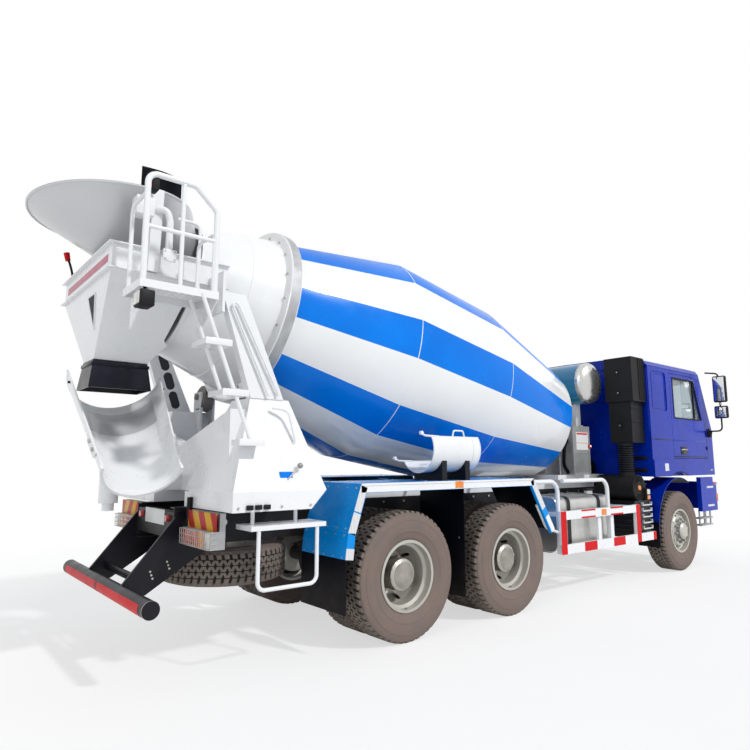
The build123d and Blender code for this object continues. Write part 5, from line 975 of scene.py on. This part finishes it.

# Rubber flaps between the wheels, and painted shade under the fenders and mudguards as thin dark sheets
shade_and_flaps = Piece("arch_shade_and_flaps")
mid_flap_x, mid_flap_bottom = -1.10, 0.27
fender_inner, fender_flange_in = 0.625, 1.214
shade_sheet_depth = 0.0115
guard_centre = Vector((front_x, 0, 0.612))
guard_turns = [radians(62 + 124 * k / 24) for k in range(25)]
for side in (RIGHT, LEFT):
    y0, y1 = sorted((side * fender_inner, side * fender_flange_in))
    shade_and_flaps.box((mid_flap_x, y0, mid_flap_bottom), (mid_flap_x + 0.008, y1, FENDER_TOP - shade_sheet_depth), rubber, 0.001)
    for out in (0.75, 0.95, 1.15):
        shade_and_flaps.bolt((mid_flap_x, side * out, 0.80), (-1, 0, 0), 0.008)
    # Painted shade: a thin dark sheet just under each fender's top stands for the shade beneath it.
    inside = [point + Vector((0, y0, 0)) for point in fender_line[1:]]
    shifts = (Vector((shade_sheet_depth, 0, -0.006)), Vector((0.005, 0, -shade_sheet_depth)), Vector((-0.005, 0, -shade_sheet_depth)),
              Vector((-shade_sheet_depth, 0, -0.004)))
    rows = []
    for y in (y0, y1):
        row = [Vector((p.x, y, p.z)) + shift for p, shift in zip(inside, shifts)]
        row += [p + shift * 0.12 for p, shift in zip(reversed(row), reversed(shifts))]
        rows.append(row)
    shade_and_flaps.loft(rows, rubber)
    # Painted shade: a thin dark arc just under each front mudguard stands for the shade beneath it.
    z0, z1 = sorted((side * 0.901, side * 1.199))
    rows = []
    for y in (z0, z1):
        arc = [guard_centre + Vector((0.6595 * cos(t), y, 0.6595 * sin(t))) for t in guard_turns]
        arc += [guard_centre + Vector((0.658 * cos(t), y, 0.658 * sin(t))) for t in reversed(guard_turns)]
        rows.append(arc)
    shade_and_flaps.loft(rows, rubber)
shade_and_flaps.done("chassis", "rubber")

# Side guards: reflecting blocks, markers and lashing brackets
guard_y = high("side_guards").y
for side_name, side in SIDES:
    film = Piece(f"guard_films_{side_name}")
    face = sorted((side * guard_y, side * (guard_y + PROUD)))

    def patch(x0, x1, z0, z1, look):
        film.box((x0, face[0], z0), (x1, face[1], z1), look)

    upper_low, upper_high, lower_low, lower_high = 0.866, 0.960, 0.5, 0.6
    for x0, x1 in ((0.84, 1.13), (1.47, 1.76)):
        patch(x0, x1, upper_low, upper_low + 0.018, red_film)
        patch(x0, x1, upper_high - 0.018, upper_high, red_film)
    patch(1.265, 1.375, 0.876, 0.948, orange_lens)
    for x0, x1 in ((0.88, 1.14), (1.51, 1.78), (2.50, 2.577)):
        patch(x0, x1, lower_low, lower_high, red_film)
    for x0, x1 in ((0.43, 0.535), (2.085, 2.187)):
        patch(x0, x1, 0.6, upper_low, red_film)
        patch(x0, x1, upper_low, upper_high, red_film)
        patch(x0, x1, lower_low, lower_high, red_film)
        film.box((x0, min(side * 1.205, side * guard_y), 0.6), (x1, max(side * 1.205, side * guard_y), upper_low),
                 white)
    film.path(rounded(((0.05, side * 1.20, 1.05), (0.22, side * 1.19, 0.80), (0.50, side * 1.19, 0.72)), 0.05), 0.016,
              white)
    film.done("chassis", "guard_paint")

# Fuel tank: straps, filler cap, end seams and a hose on top
tank_low, tank_high = low("fuel_tank"), high("fuel_tank")
tank = Piece("fuel_tank_fittings")
strap_edge = 0.09
tank_y, tank_in, tank_z0, tank_z1 = -1.111, -0.514, tank_low.z, 1.106
for x in (tank_low.x + 0.23, tank_high.x - 0.23):
    loop = rounded(((0, tank_in, tank_z1), (0, tank_y, tank_z1), (0, tank_y, tank_z0), (0, tank_in, tank_z0)),
                   strap_edge)
    wide = 0.036
    rows = []
    for dx in (-wide, wide):
        rows.append([Vector((x + dx, p.y - 0.0015 * (1 if p.y < -0.9 else 0),
                             p.z + (0.0015 if p.z > 0.8 else -0.0015)))
                     for p in loop])
    tank.loft(rows, plate_black, ends=False, around=False)
for x in (tank_low.x, tank_high.x):
    ring = rounded(((x, -0.53, 1.095), (x, -1.10, 1.095), (x, -1.10, 0.505), (x, -0.53, 0.505)), 0.085)
    tank.path(ring, 0.007, tank_alloy, 8)
cap = Vector((1.50, -0.93, 1.10))
tank.rod(cap, cap + Vector((0, 0, 0.045)), 0.055, tank_alloy, 28, 0.05)
tank.rod(cap + Vector((0, 0, 0.045)), cap + Vector((0, 0, 0.07)), 0.062, plastic_black, 28, 0.055)
tank.path(rounded(((0.70, -0.62, 1.12), (0.95, -0.72, 1.135), (1.25, -0.60, 1.12), (1.55, -0.66, 1.14)), 0.08), 0.012,
          rubber)
tank.done("chassis", "bare_metal")

# Air tanks: bands and drain cocks
air = Piece("air_tank_fittings")
for out in (0.58, 0.89):
    for x in (0.66, 1.52):
        air.turned(((0.139, -0.014), (0.1425, -0.014), (0.1425, 0.014), (0.139, 0.014)), (x, out, 0.8), (1, 0, 0),
                   galvanised, 40)
    air.rod((1.1, out, 0.664), (1.1, out, 0.645), 0.012, bolt_metal, 8)
air.done("chassis", "bare_metal")

# Battery box: ribs and the alloy treads on its face, with the work lamp above
box_low = low("battery_box")
battery = Piece("battery_fittings")
battery_y = box_low.y
for row in range(5):
    z = 0.63 + row * 0.075
    battery.box((2.37, battery_y - 0.035, z), (2.612, battery_y - 0.002, z + 0.016), alloy_rail, 0.003)
    battery.box((2.37, battery_y - 0.035, z + 0.016), (2.38, battery_y - 0.002, z + 0.045), alloy_rail, 0.002)
    battery.box((2.602, battery_y - 0.035, z + 0.016), (2.612, battery_y - 0.002, z + 0.045), alloy_rail, 0.002)
for row in range(6):
    z = 0.62 + row * 0.06
    battery.box((box_low.x - 0.005, -1.12, z), (box_low.x, -0.5, z + 0.025), plate_black, 0.002)
battery.box((2.47, -1.195, 1.0), (2.56, -1.13, 1.15), plastic_black, 0.012)
battery.box((2.478, -1.2, 1.075), (2.552, -1.194, 1.14), clear_lens, 0.004)
battery.box((2.478, -1.2, 1.01), (2.552, -1.194, 1.06), orange_lens, 0.004)
battery.box((2.49, -1.15, 0.99), (2.54, -1.10, 1.02), plate_black, 0.003)
battery.done("chassis", "black_paint")

# Air filter: ribs round its drum, end cover with clips and the indicator
filter_low, filter_high = low("air_filter"), high("air_filter")
filter_x = (filter_low.x + filter_high.x) / 2
filter_z = 1.16
cleaner = Piece("air_filter_ribs")
for number in range(18):
    y = -1.12 + number * 0.0275
    cleaner.turned(((0.163, -0.006), (0.1685, -0.004), (0.1685, 0.004), (0.163, 0.006)), (filter_x, y, filter_z),
                   AXLE, plastic_black, 48)
for number in range(28):
    turn = 2 * pi * number / 28
    way = Vector((cos(turn), 0, sin(turn)))
    spot = Vector((filter_x, -1.152, filter_z))
    cleaner.rod(spot + way * 0.085, spot + way * 0.155, 0.006, plastic_black, 6)
cleaner.turned(((0.060, -0.006), (0.080, -0.010), (0.084, 0.0), (0.060, 0.002)), (filter_x, -1.152, filter_z),
               -AXLE, plastic_black, 40)
cleaner.rod((filter_x, -1.15, filter_z), (filter_x, -1.160, filter_z), 0.034, orange_lens, 28, 0.030)
for number in range(12):
    z = 1.37 + number * 0.03
    cleaner.turned(((0.093, -0.009), (0.103, 0.0), (0.093, 0.009)), (filter_x, -0.99, z), (0, 0, 1), boot_rubber, 40)
cleaner.done("chassis", "black_paint")

# Oil cooler: fins, hose, blank label and side lamp
cool_low, cool_high = low("oil_cooler"), high("oil_cooler")
cooler = Piece("oil_cooler_fittings")
for number in range(16):
    x = cool_low.x + 0.03 + number * (cool_high.x - cool_low.x - 0.06) / 15
    cooler.box((x - 0.004, cool_low.y - 0.004, cool_low.z + 0.03), (x + 0.004, cool_low.y, cool_high.z - 0.35),
               cast_grey)
cooler.box((1.675, cool_low.y - PROUD, 1.655), (1.955, cool_low.y, 1.885), blank_plate)
cooler.box((1.69, cool_low.y - 2 * PROUD, 1.855), (1.94, cool_low.y - PROUD, 1.875), red_film)
cooler.box((1.69, cool_low.y - 2 * PROUD, 1.742), (1.94, cool_low.y - PROUD, 1.748), orange_lens)
cooler.path(rounded(((1.62, -0.60, 1.80), (1.50, -0.62, 1.70), (1.47, -0.62, 1.45), (1.60, -0.60, 1.36)), 0.08), 0.022,
            rubber)
for side_x in (1.60, 1.97):
    cooler.box((side_x - 0.012, cool_low.y - 0.010, 1.335), (side_x + 0.012, cool_low.y + 0.02, cool_high.z),
               cast_grey,
               0.003)
cooler.rod((1.96, -0.685, 1.70), (1.99, -0.70, 1.70), 0.03, red_lens, 20)
for x in (1.62, 1.95):
    cooler.rod((x, -0.60, cool_high.z), (x, -0.60, cool_high.z + 0.02), 0.025, bolt_metal, 6)
cooler.done("chassis", "bare_metal")

# Water tank: blue shell, stainless dished ends and bands
water_low, water_high = low("water_tank"), high("water_tank")
water_radius = (water_high.z - water_low.z) / 2
water_centre = middle("water_tank")
water_half = water_high.y - 0.12
water = Piece("water_tank_shell")
shell_half = water_half - 0.015
DOME_STEPS = 10
dome_deep = water_high.y - water_half
profile = [(water_radius * sin(pi / 2 * k / DOME_STEPS) + (PROUD if k == 0 else 0),
            dome_deep * cos(pi / 2 * k / DOME_STEPS)) for k in range(DOME_STEPS + 1)]
for side in (RIGHT, LEFT):
    dome = [(radius, water_half + out) for radius, out in profile]
    dome += [(water_radius, shell_half), (water_radius - 0.01, shell_half)]
    dome += [(PROUD, shell_half)]
    water.turned(dome, (water_centre.x, 0, water_centre.z), AXLE * side, stainless, 64)
    water.turned(((water_radius - 0.004, water_half - 0.03), (water_radius, water_half - 0.03),
                  (water_radius, water_half - 0.012), (water_radius - 0.004, water_half - 0.012)),
                 (water_centre.x, 0, water_centre.z), AXLE * side, bolt_metal, 64)
water.turned(((water_radius - 0.001, -shell_half), (water_radius - 0.001, shell_half),
              (water_radius - 0.012, shell_half),
              (water_radius - 0.012, -shell_half)), (water_centre.x, 0, water_centre.z), AXLE, tank_teal, 64)
water.done("chassis", "bare_metal", "water_tank")

# Cab: door frames, seams, handles, sill strips, lamps, grille, wipers and roof trim
cab_high = high("cab_side_walls")
cab_half = 1.225
cab_rear_x = low("cab_side_walls").x
cab_front_x = cab_high.x
door_low, door_high = low("door_right"), high("door_right")
glass_low, glass_high = low("door_glass_right"), high("door_glass_right")
belt_z = 1.98
door_lean = 0.29 / (2.76 - belt_z)
window_front_x = door_high.x + 0.006 - 0.08
window_corners = (
    (glass_low.x, glass_low.z), (glass_low.x, glass_high.z),
    (window_front_x - (glass_high.z - belt_z) * door_lean, glass_high.z),
    (window_front_x - (glass_low.z - belt_z) * door_lean, glass_low.z),
)
for side_name, side in SIDES:
    door = Piece(f"door_trim_{side_name}")
    y = side * cab_half
    frame_path = [Vector((x, side * (cab_half - 0.002), z)) for x, z in window_corners]
    for a, b in zip(frame_path, frame_path[1:] + frame_path[:1]):
        door.rod(a, b, 0.011, plastic_black, 8)
    divider = 4.035
    door.box((divider, min(y - side * 0.032, y - side * 0.004), glass_low.z),
             (divider + 0.022, max(y - side * 0.032, y - side * 0.004), glass_high.z), plastic_black, 0.002)
    handle_y = sorted((y, y + side * 0.004))
    door.box((3.49, handle_y[0], 1.60), (3.70, handle_y[1], 1.71), plate_black, 0.001)
    handle = [(3.51, side * 1.222, 1.665), (3.52, side * 1.238, 1.67), (3.67, side * 1.238, 1.67),
              (3.68, side * 1.222, 1.665)]
    door.path(rounded(handle, 0.012, 3), 0.009, bolt_metal)
    door.rod((3.60, side * 1.224, 1.63), (3.60, side * 1.232, 1.63), 0.012, bolt_metal, 16)
    crease = sorted((y - side * 0.002, y + side * 0.004))
    door.box((door_low.x + 0.01, crease[0], 1.795), (door_high.x - 0.01, crease[1], 1.807), cab_blue, 0.0015)
    door.box((door_low.x + 0.02, crease[0], 1.565), (door_high.x - 0.02, crease[1], 1.578), plate_black, 0.0015)
    for hinge_z in (1.70, 1.93):
        door.rod((door_high.x - 0.012, y + side * 0.004, hinge_z - 0.03),
                 (door_high.x - 0.012, y + side * 0.004, hinge_z + 0.03),
                 0.009, plate_black, 12)
    door.done(f"door_{side_name}", "cab_paint")

    flank = Piece(f"cab_side_trim_{side_name}")
    flare = sorted((side * 1.245, side * 1.2462))
    flank.box((2.93, flare[0], 1.375), (3.04, flare[1], 1.475), blank_plate)
    flank.box((4.46, flare[0] - side * 0.02, 1.36), (4.53, flare[1] - side * 0.02, 1.385), bolt_metal, 0.001)
    arch_centre = Vector((front_x - 0.04, 0, 0.70))
    arch_path = []
    for step in range(25):
        turn = radians(66 + step * 5)
        arch_path.append(arch_centre + Vector((0.664 * cos(turn), side * 1.238, 0.664 * sin(turn))))
    arch_path = [p for p in arch_path if p.z > 1.305]
    flank.path(arch_path, 0.008, plastic_black, 8)
    step_low = sorted((side * 1.226, side * 1.232))
    flank.box((cab_rear_x + 0.02, step_low[0], 1.800), (3.262, step_low[1], 1.808), plate_black, 0.001)
    flank.path(rounded(((cab_rear_x + 0.11, side * 1.214, 2.23), (cab_rear_x + 0.11, side * 1.214, 2.72),
                        (cab_rear_x + 0.49, side * 1.214, 2.72), (cab_rear_x + 0.49, side * 1.214, 2.23),
                        (cab_rear_x + 0.11, side * 1.214, 2.23)), 0.05), 0.006, cab_blue)
    gutter = [(cab_rear_x - 0.02, side * 1.222, 2.812), (4.24, side * 1.222, 2.812)]
    flank.rod(gutter[0], gutter[1], 0.010, cab_blue, 10)
    for z in (1.36, 1.52):
        flank.box((cab_rear_x - 0.018, min(side * 0.86, side * 1.15), z),
                  (cab_rear_x, max(side * 0.86, side * 1.15), z + 0.05),
                  plate_black, 0.004)
    flank.box((cab_rear_x - 0.012, min(side * 1.16, side * 1.215), 1.9),
              (cab_rear_x, max(side * 1.16, side * 1.215), 2.78),
              cab_blue, 0.004)
    flank.rod((4.545, side * 1.20, 1.30), (4.545, side * 1.20, 1.98), 0.018, cab_blue, 12)
    flank.done("cab", "cab_paint")

    steps = Piece(f"bumper_steps_{side_name}")
    bumper_side = sorted((side * 1.238, side * 1.2455))
    for z in (1.115, 0.845):
        steps.box((4.22, bumper_side[0], z - 0.008), (4.45, bumper_side[1], z + 0.022), alloy_rail, 0.002)
    steps.box((4.53, bumper_side[0], 0.90), (4.60, bumper_side[1], 1.02), red_lens, 0.002)
    steps.box((4.47, bumper_side[0], 1.155), (4.60, bumper_side[1], 1.185), red_lens, 0.002)
    for x in (4.12, 4.33):
        steps.path(rounded(((x, side * 1.15, 0.80), (x, side * 1.15, 0.56), (x + 0.17, side * 1.15, 0.56),
                            (x + 0.17, side * 1.15, 0.80)), 0.03), 0.012, galvanised)
    steps.box((4.11, min(side * 1.08, side * 1.18), 0.655), (4.52, max(side * 1.08, side * 1.18), 0.675), galvanised,
              0.003)
    steps.box((4.11, min(side * 1.08, side * 1.18), 0.555), (4.52, max(side * 1.08, side * 1.18), 0.575), galvanised,
              0.003)
    lamp_in, lamp_out = 0.78, 1.10
    lamp_y = sorted((side * lamp_in, side * lamp_out))
    face_x = high("front_bumper").x
    steps.box((face_x - 0.004, lamp_y[0], 0.93), (face_x - 0.0005, lamp_y[1], 1.12), clear_lens, 0.001)
    for z in (0.93, 1.12):
        steps.box((face_x - 0.003, lamp_y[0] - 0.01, z - 0.006), (face_x, lamp_y[1] + 0.01, z + 0.006), plate_black)
    fog_y = side * 0.62
    steps.rod((face_x - 0.01, fog_y, 0.90), (face_x - 0.0005, fog_y, 0.90), 0.055, clear_lens, 28)
    steps.done("chassis", "cab_paint")

front = Piece("cab_front_trim")
grille_face = high("cab_front").x - 0.02
for row in range(6):
    z = 1.425 + row * 0.056
    front.box((grille_face, -0.79, z), (grille_face + 0.012, 0.79, z + 0.026), plastic_black, 0.003)
for column in range(9):
    out = -0.72 + column * 0.18
    front.box((grille_face + 0.001, out - 0.006, 1.402), (grille_face + 0.010, out + 0.006, 1.748), plate_black)
face = high("cab_front").x
front.box((face - 0.003, -1.0, 1.80), (face, 1.0, 1.93), plastic_black)
for out in (-0.62, 0.02):
    front.path(((face - 0.028, out, 2.02), (face - 0.13, out + 0.30, 2.26)), 0.008, plastic_black, 8)
    front.path(((face - 0.045, out + 0.02, 2.075), (face - 0.125, out + 0.55, 2.26)), 0.010, rubber, 8)
lean = 0.345 / 0.83
corners = [Vector((face - 0.002 - (z - belt_z) * lean, out, z)) for out, z in
           ((-1.05, 2.05), (1.05, 2.05), (1.05, 2.73), (-1.05, 2.73))]
for a, b in zip(corners, corners[1:] + corners[:1]):
    front.rod(a, b, 0.014, rubber, 10)
front.done("cab", "cab_paint")

# Air duct: louvres on its outer face and head, bolts and clamp
duct_low = low("air_duct")
duct = Piece("air_duct_louvres")
for row in range(24):
    z = 2.33 + row * 0.0235
    duct.box((2.44, duct_low.y - 0.006, z), (2.60, duct_low.y, z + 0.011), plastic_black, 0.002)
    duct.box((2.598, duct_low.y + 0.005, z), (2.612, duct_low.y + 0.10, z + 0.011), plastic_black, 0.002)
for column in range(4):
    x = 2.45 + column * 0.048
    duct.box((x, duct_low.y - 0.008, 2.32), (x + 0.008, duct_low.y, 2.89), plastic_black, 0.001)
for z in (2.70, 2.42, 1.98):
    duct.turned(((0.018, 0.0), (0.034, 0.0), (0.032, 0.008), (0.018, 0.006)), (duct_low.x, -0.985, z), (-1, 0, 0),
                plastic_black, 24)
    duct.bolt((duct_low.x, -0.985, z), (-1, 0, 0), 0.010)
duct.box((duct_low.x + 0.02, -1.146, 2.02), (2.612, -1.14, 2.05), plastic_black, 0.002)
duct.box((duct_low.x + 0.02, -1.146, 2.20), (2.612, -1.14, 2.23), plastic_black, 0.002)
duct.done("cab", "black_paint")

# Mirrors: rounded housings with their glass, arm knuckles, and the visor with its brackets
mirror_high = high("mirrors_and_visor")
mirrors = Piece("mirror_heads")
arm_x = front_x + 1.02 + 0.035
for side in (RIGHT, LEFT):
    for z0, z1 in ((2.395, 2.80), (2.15, 2.34)):
        y0, y1 = sorted((side * 1.345, side * mirror_high.y))
        mirrors.box((arm_x - 0.035, y0, z0), (arm_x + 0.035, y1, z1), plastic_black, 0.022)
        mirrors.box((arm_x - 0.0375, y0 + 0.02, z0 + 0.02), (arm_x - 0.0345, y1 - 0.02, z1 - 0.02), mirror_face, 0.001)
    arm = ((arm_x, side * 1.225, 1.96), (arm_x, side * 1.43, 1.96), (arm_x, side * 1.43, 2.838),
           (4.2575, side * 1.33, 2.838))
    mirrors.path(rounded(arm, 0.07), 0.012, plastic_black)
    mirrors.rod((arm_x, side * 1.222, 1.90), (arm_x, side * 1.222, 2.0), 0.026, plastic_black, 20)
    mirrors.rod((arm_x, side * 1.24, 1.87), (arm_x, side * 1.24, 1.95), 0.03, plastic_black, 20, 0.044)
    mirrors.rod((arm_x, side * 1.43, 2.36), (arm_x, side * 1.43, 2.385), 0.02, bolt_metal, 12)
visor_root = Vector((cab_front_x - 0.345, 0, 2.85))
visor_tip = visor_root + Vector((0.25, 0, -0.11))
thin = Vector((0, 0, -0.012))
segments = []
for step in range(9):
    share = step / 8
    lift_up = 0.018 * sin(pi * share)
    at = visor_root.lerp(visor_tip, share) + Vector((0, 0, lift_up - 0.006))
    segments.append(at)
outline = [Vector((p.x, -1.06, p.z)) for p in segments] + [Vector((p.x, -1.06,
                                                                   p.z)) + thin for p in reversed(segments)]
mirrors.prism(outline, (0, 2.12, 0), cab_blue)
for out in (-0.9, -0.3, 0.3, 0.9):
    mirrors.box((visor_root.x - 0.03, out - 0.015, visor_root.z - 0.03),
                (visor_root.x + 0.02, out + 0.015, visor_root.z - 0.008),
                plate_black, 0.003)
mirrors.done("cab", "black_paint", "mirrors_and_visor")

# Seats and dashboard inside the cab
inside = Piece("cab_inside_trim")
floor_z = 1.35
for out in (-0.64, 0.64):
    seat_x = front_x - 0.56
    inside.box((seat_x - 0.004, out - 0.25, floor_z + 0.285), (seat_x + 0.524, out + 0.25, floor_z + 0.435),
               seat_cloth, 0.03)
    inside.box((seat_x - 0.136, out - 0.25, floor_z + 0.42), (seat_x + 0.012, out + 0.25, floor_z + 1.146), seat_cloth,
               0.04)
dash_x = cab_front_x - 0.055 - 0.33
inside.box((dash_x + 0.02, -1.15, 1.968), (dash_x + 0.31, 1.15, 1.985), plastic_black, 0.006)
for out in (-0.9, -0.3, 0.25, 1.0):
    inside.rod((dash_x - 0.004, out, 1.82), (dash_x + 0.002, out, 1.82), 0.05, plastic_black, 24)
inside.done("cab", "grey_plastic")

# Engine top, gearbox hump and hoses that show between the cab and the drum
hoses = Piece("engine_hoses")
for start_y, bend_z, radius in ((-0.25, 1.52, 0.045), (0.05, 1.48, 0.03), (0.25, 1.56, 0.04)):
    hoses.path(rounded(((2.30, start_y, 1.25), (2.30, start_y, bend_z), (2.55, start_y - 0.12, bend_z),
                        (2.60, start_y - 0.12, 1.26)), 0.1), radius, rubber, 14)
for x in (2.4, 2.9, 3.4):
    hoses.box((x, -0.30, 1.255), (x + 0.38, 0.30, 1.285), engine_dark, 0.012)
hoses.done("chassis", "black_paint")

# Drum drive: flange bolts
drive = Piece("drum_drive_fittings")
first, second = across(backward)
for step in range(16):
    turn = 2 * pi * step / 16
    spot = drum_origin - backward * (head_depth - 0.001) + (first * cos(turn) + second * sin(turn)) * 0.185
    drive.bolt(spot, -backward, 0.011)
drive.done("drum", "drum_paint")

# Floor, white surroundings and lamps
FLOOR_REACH = 60.0
floor_data = bpy.data.meshes.new("floor")
floor_data.from_pydata([(-FLOOR_REACH, -FLOOR_REACH, 0), (FLOOR_REACH, -FLOOR_REACH, 0), (FLOOR_REACH, FLOOR_REACH, 0),
                        (-FLOOR_REACH, FLOOR_REACH, 0)], [], [(0, 1, 2, 3)])
floor = bpy.data.objects.new("floor", floor_data)
bpy.context.scene.collection.objects.link(floor)
floor_nodes = Nodes("floor_white")
tree = floor_nodes.tree
floor_nodes.shader.inputs["Roughness"].default_value = 0.9
floor_nodes.link(floor_nodes.blend(floor_nodes.spread(floor_nodes.noise(0.5), 0, 1), (0.84, 0.84, 0.84),
                                   (0.88, 0.88, 0.88)),
                 floor_nodes.shader.inputs["Base Color"])
glow = tree.nodes.new("ShaderNodeEmission")
glow.inputs["Color"].default_value = (1, 1, 1, 1)
glow.inputs["Strength"].default_value = 1.0
rays = tree.nodes.new("ShaderNodeLightPath")
seen = floor_nodes.math("MAXIMUM", rays.outputs["Is Camera Ray"], rays.outputs["Is Glossy Ray"])
seen = floor_nodes.math("MAXIMUM", seen, rays.outputs["Is Transmission Ray"])
away = tree.nodes.new("ShaderNodeVectorMath")
away.operation = "LENGTH"
tree.links.new(floor_nodes.place, away.inputs[0])
far = floor_nodes.spread(away.outputs["Value"], 0.62, 1, 4.5, 8.0)
share = floor_nodes.math("MULTIPLY", seen, far)
mix = tree.nodes.new("ShaderNodeMixShader")
tree.links.new(share, mix.inputs[0])
tree.links.new(floor_nodes.shader.outputs[0], mix.inputs[1])
tree.links.new(glow.outputs[0], mix.inputs[2])
tree.links.new(mix.outputs[0], tree.nodes["Material Output"].inputs["Surface"])
floor_data.materials.append(floor_nodes.material)

world = bpy.data.worlds.new("studio")
bpy.context.scene.world = world
world.use_nodes = True
sky = world.node_tree
background = sky.nodes["Background"]
background.inputs["Color"].default_value = (0.93, 0.96, 1.0, 1)
background.inputs["Strength"].default_value = 0.55
plain = sky.nodes.new("ShaderNodeBackground")
plain.inputs["Color"].default_value = (1, 1, 1, 1)
plain.inputs["Strength"].default_value = 1.0
sky_rays = sky.nodes.new("ShaderNodeLightPath")
either = sky.nodes.new("ShaderNodeMath")
either.operation = "MAXIMUM"
sky.links.new(sky_rays.outputs["Is Camera Ray"], either.inputs[0])
sky.links.new(sky_rays.outputs["Is Glossy Ray"], either.inputs[1])
any_ray = sky.nodes.new("ShaderNodeMath")
any_ray.operation = "MAXIMUM"
sky.links.new(either.outputs[0], any_ray.inputs[0])
sky.links.new(sky_rays.outputs["Is Transmission Ray"], any_ray.inputs[1])
sky_mix = sky.nodes.new("ShaderNodeMixShader")
sky.links.new(any_ray.outputs[0], sky_mix.inputs[0])
sky.links.new(background.outputs[0], sky_mix.inputs[1])
sky.links.new(plain.outputs[0], sky_mix.inputs[2])
sky.links.new(sky_mix.outputs[0], sky.nodes["World Output"].inputs["Surface"])


def sun(name, towards, strength, angle):
    """A distant lamp that shines along a direction."""
    data = bpy.data.lights.new(name, "SUN")
    data.energy = strength
    data.angle = radians(angle)
    lamp = bpy.data.objects.new(name, data)
    bpy.context.scene.collection.objects.link(lamp)
    lamp.rotation_euler = Vector(towards).to_track_quat("-Z", "Y").to_euler()


sun("key", (-0.35, 1.0, -0.95), 2.0, 4)
sun("fill", (1.0, 0.35, -0.5), 0.5, 25)
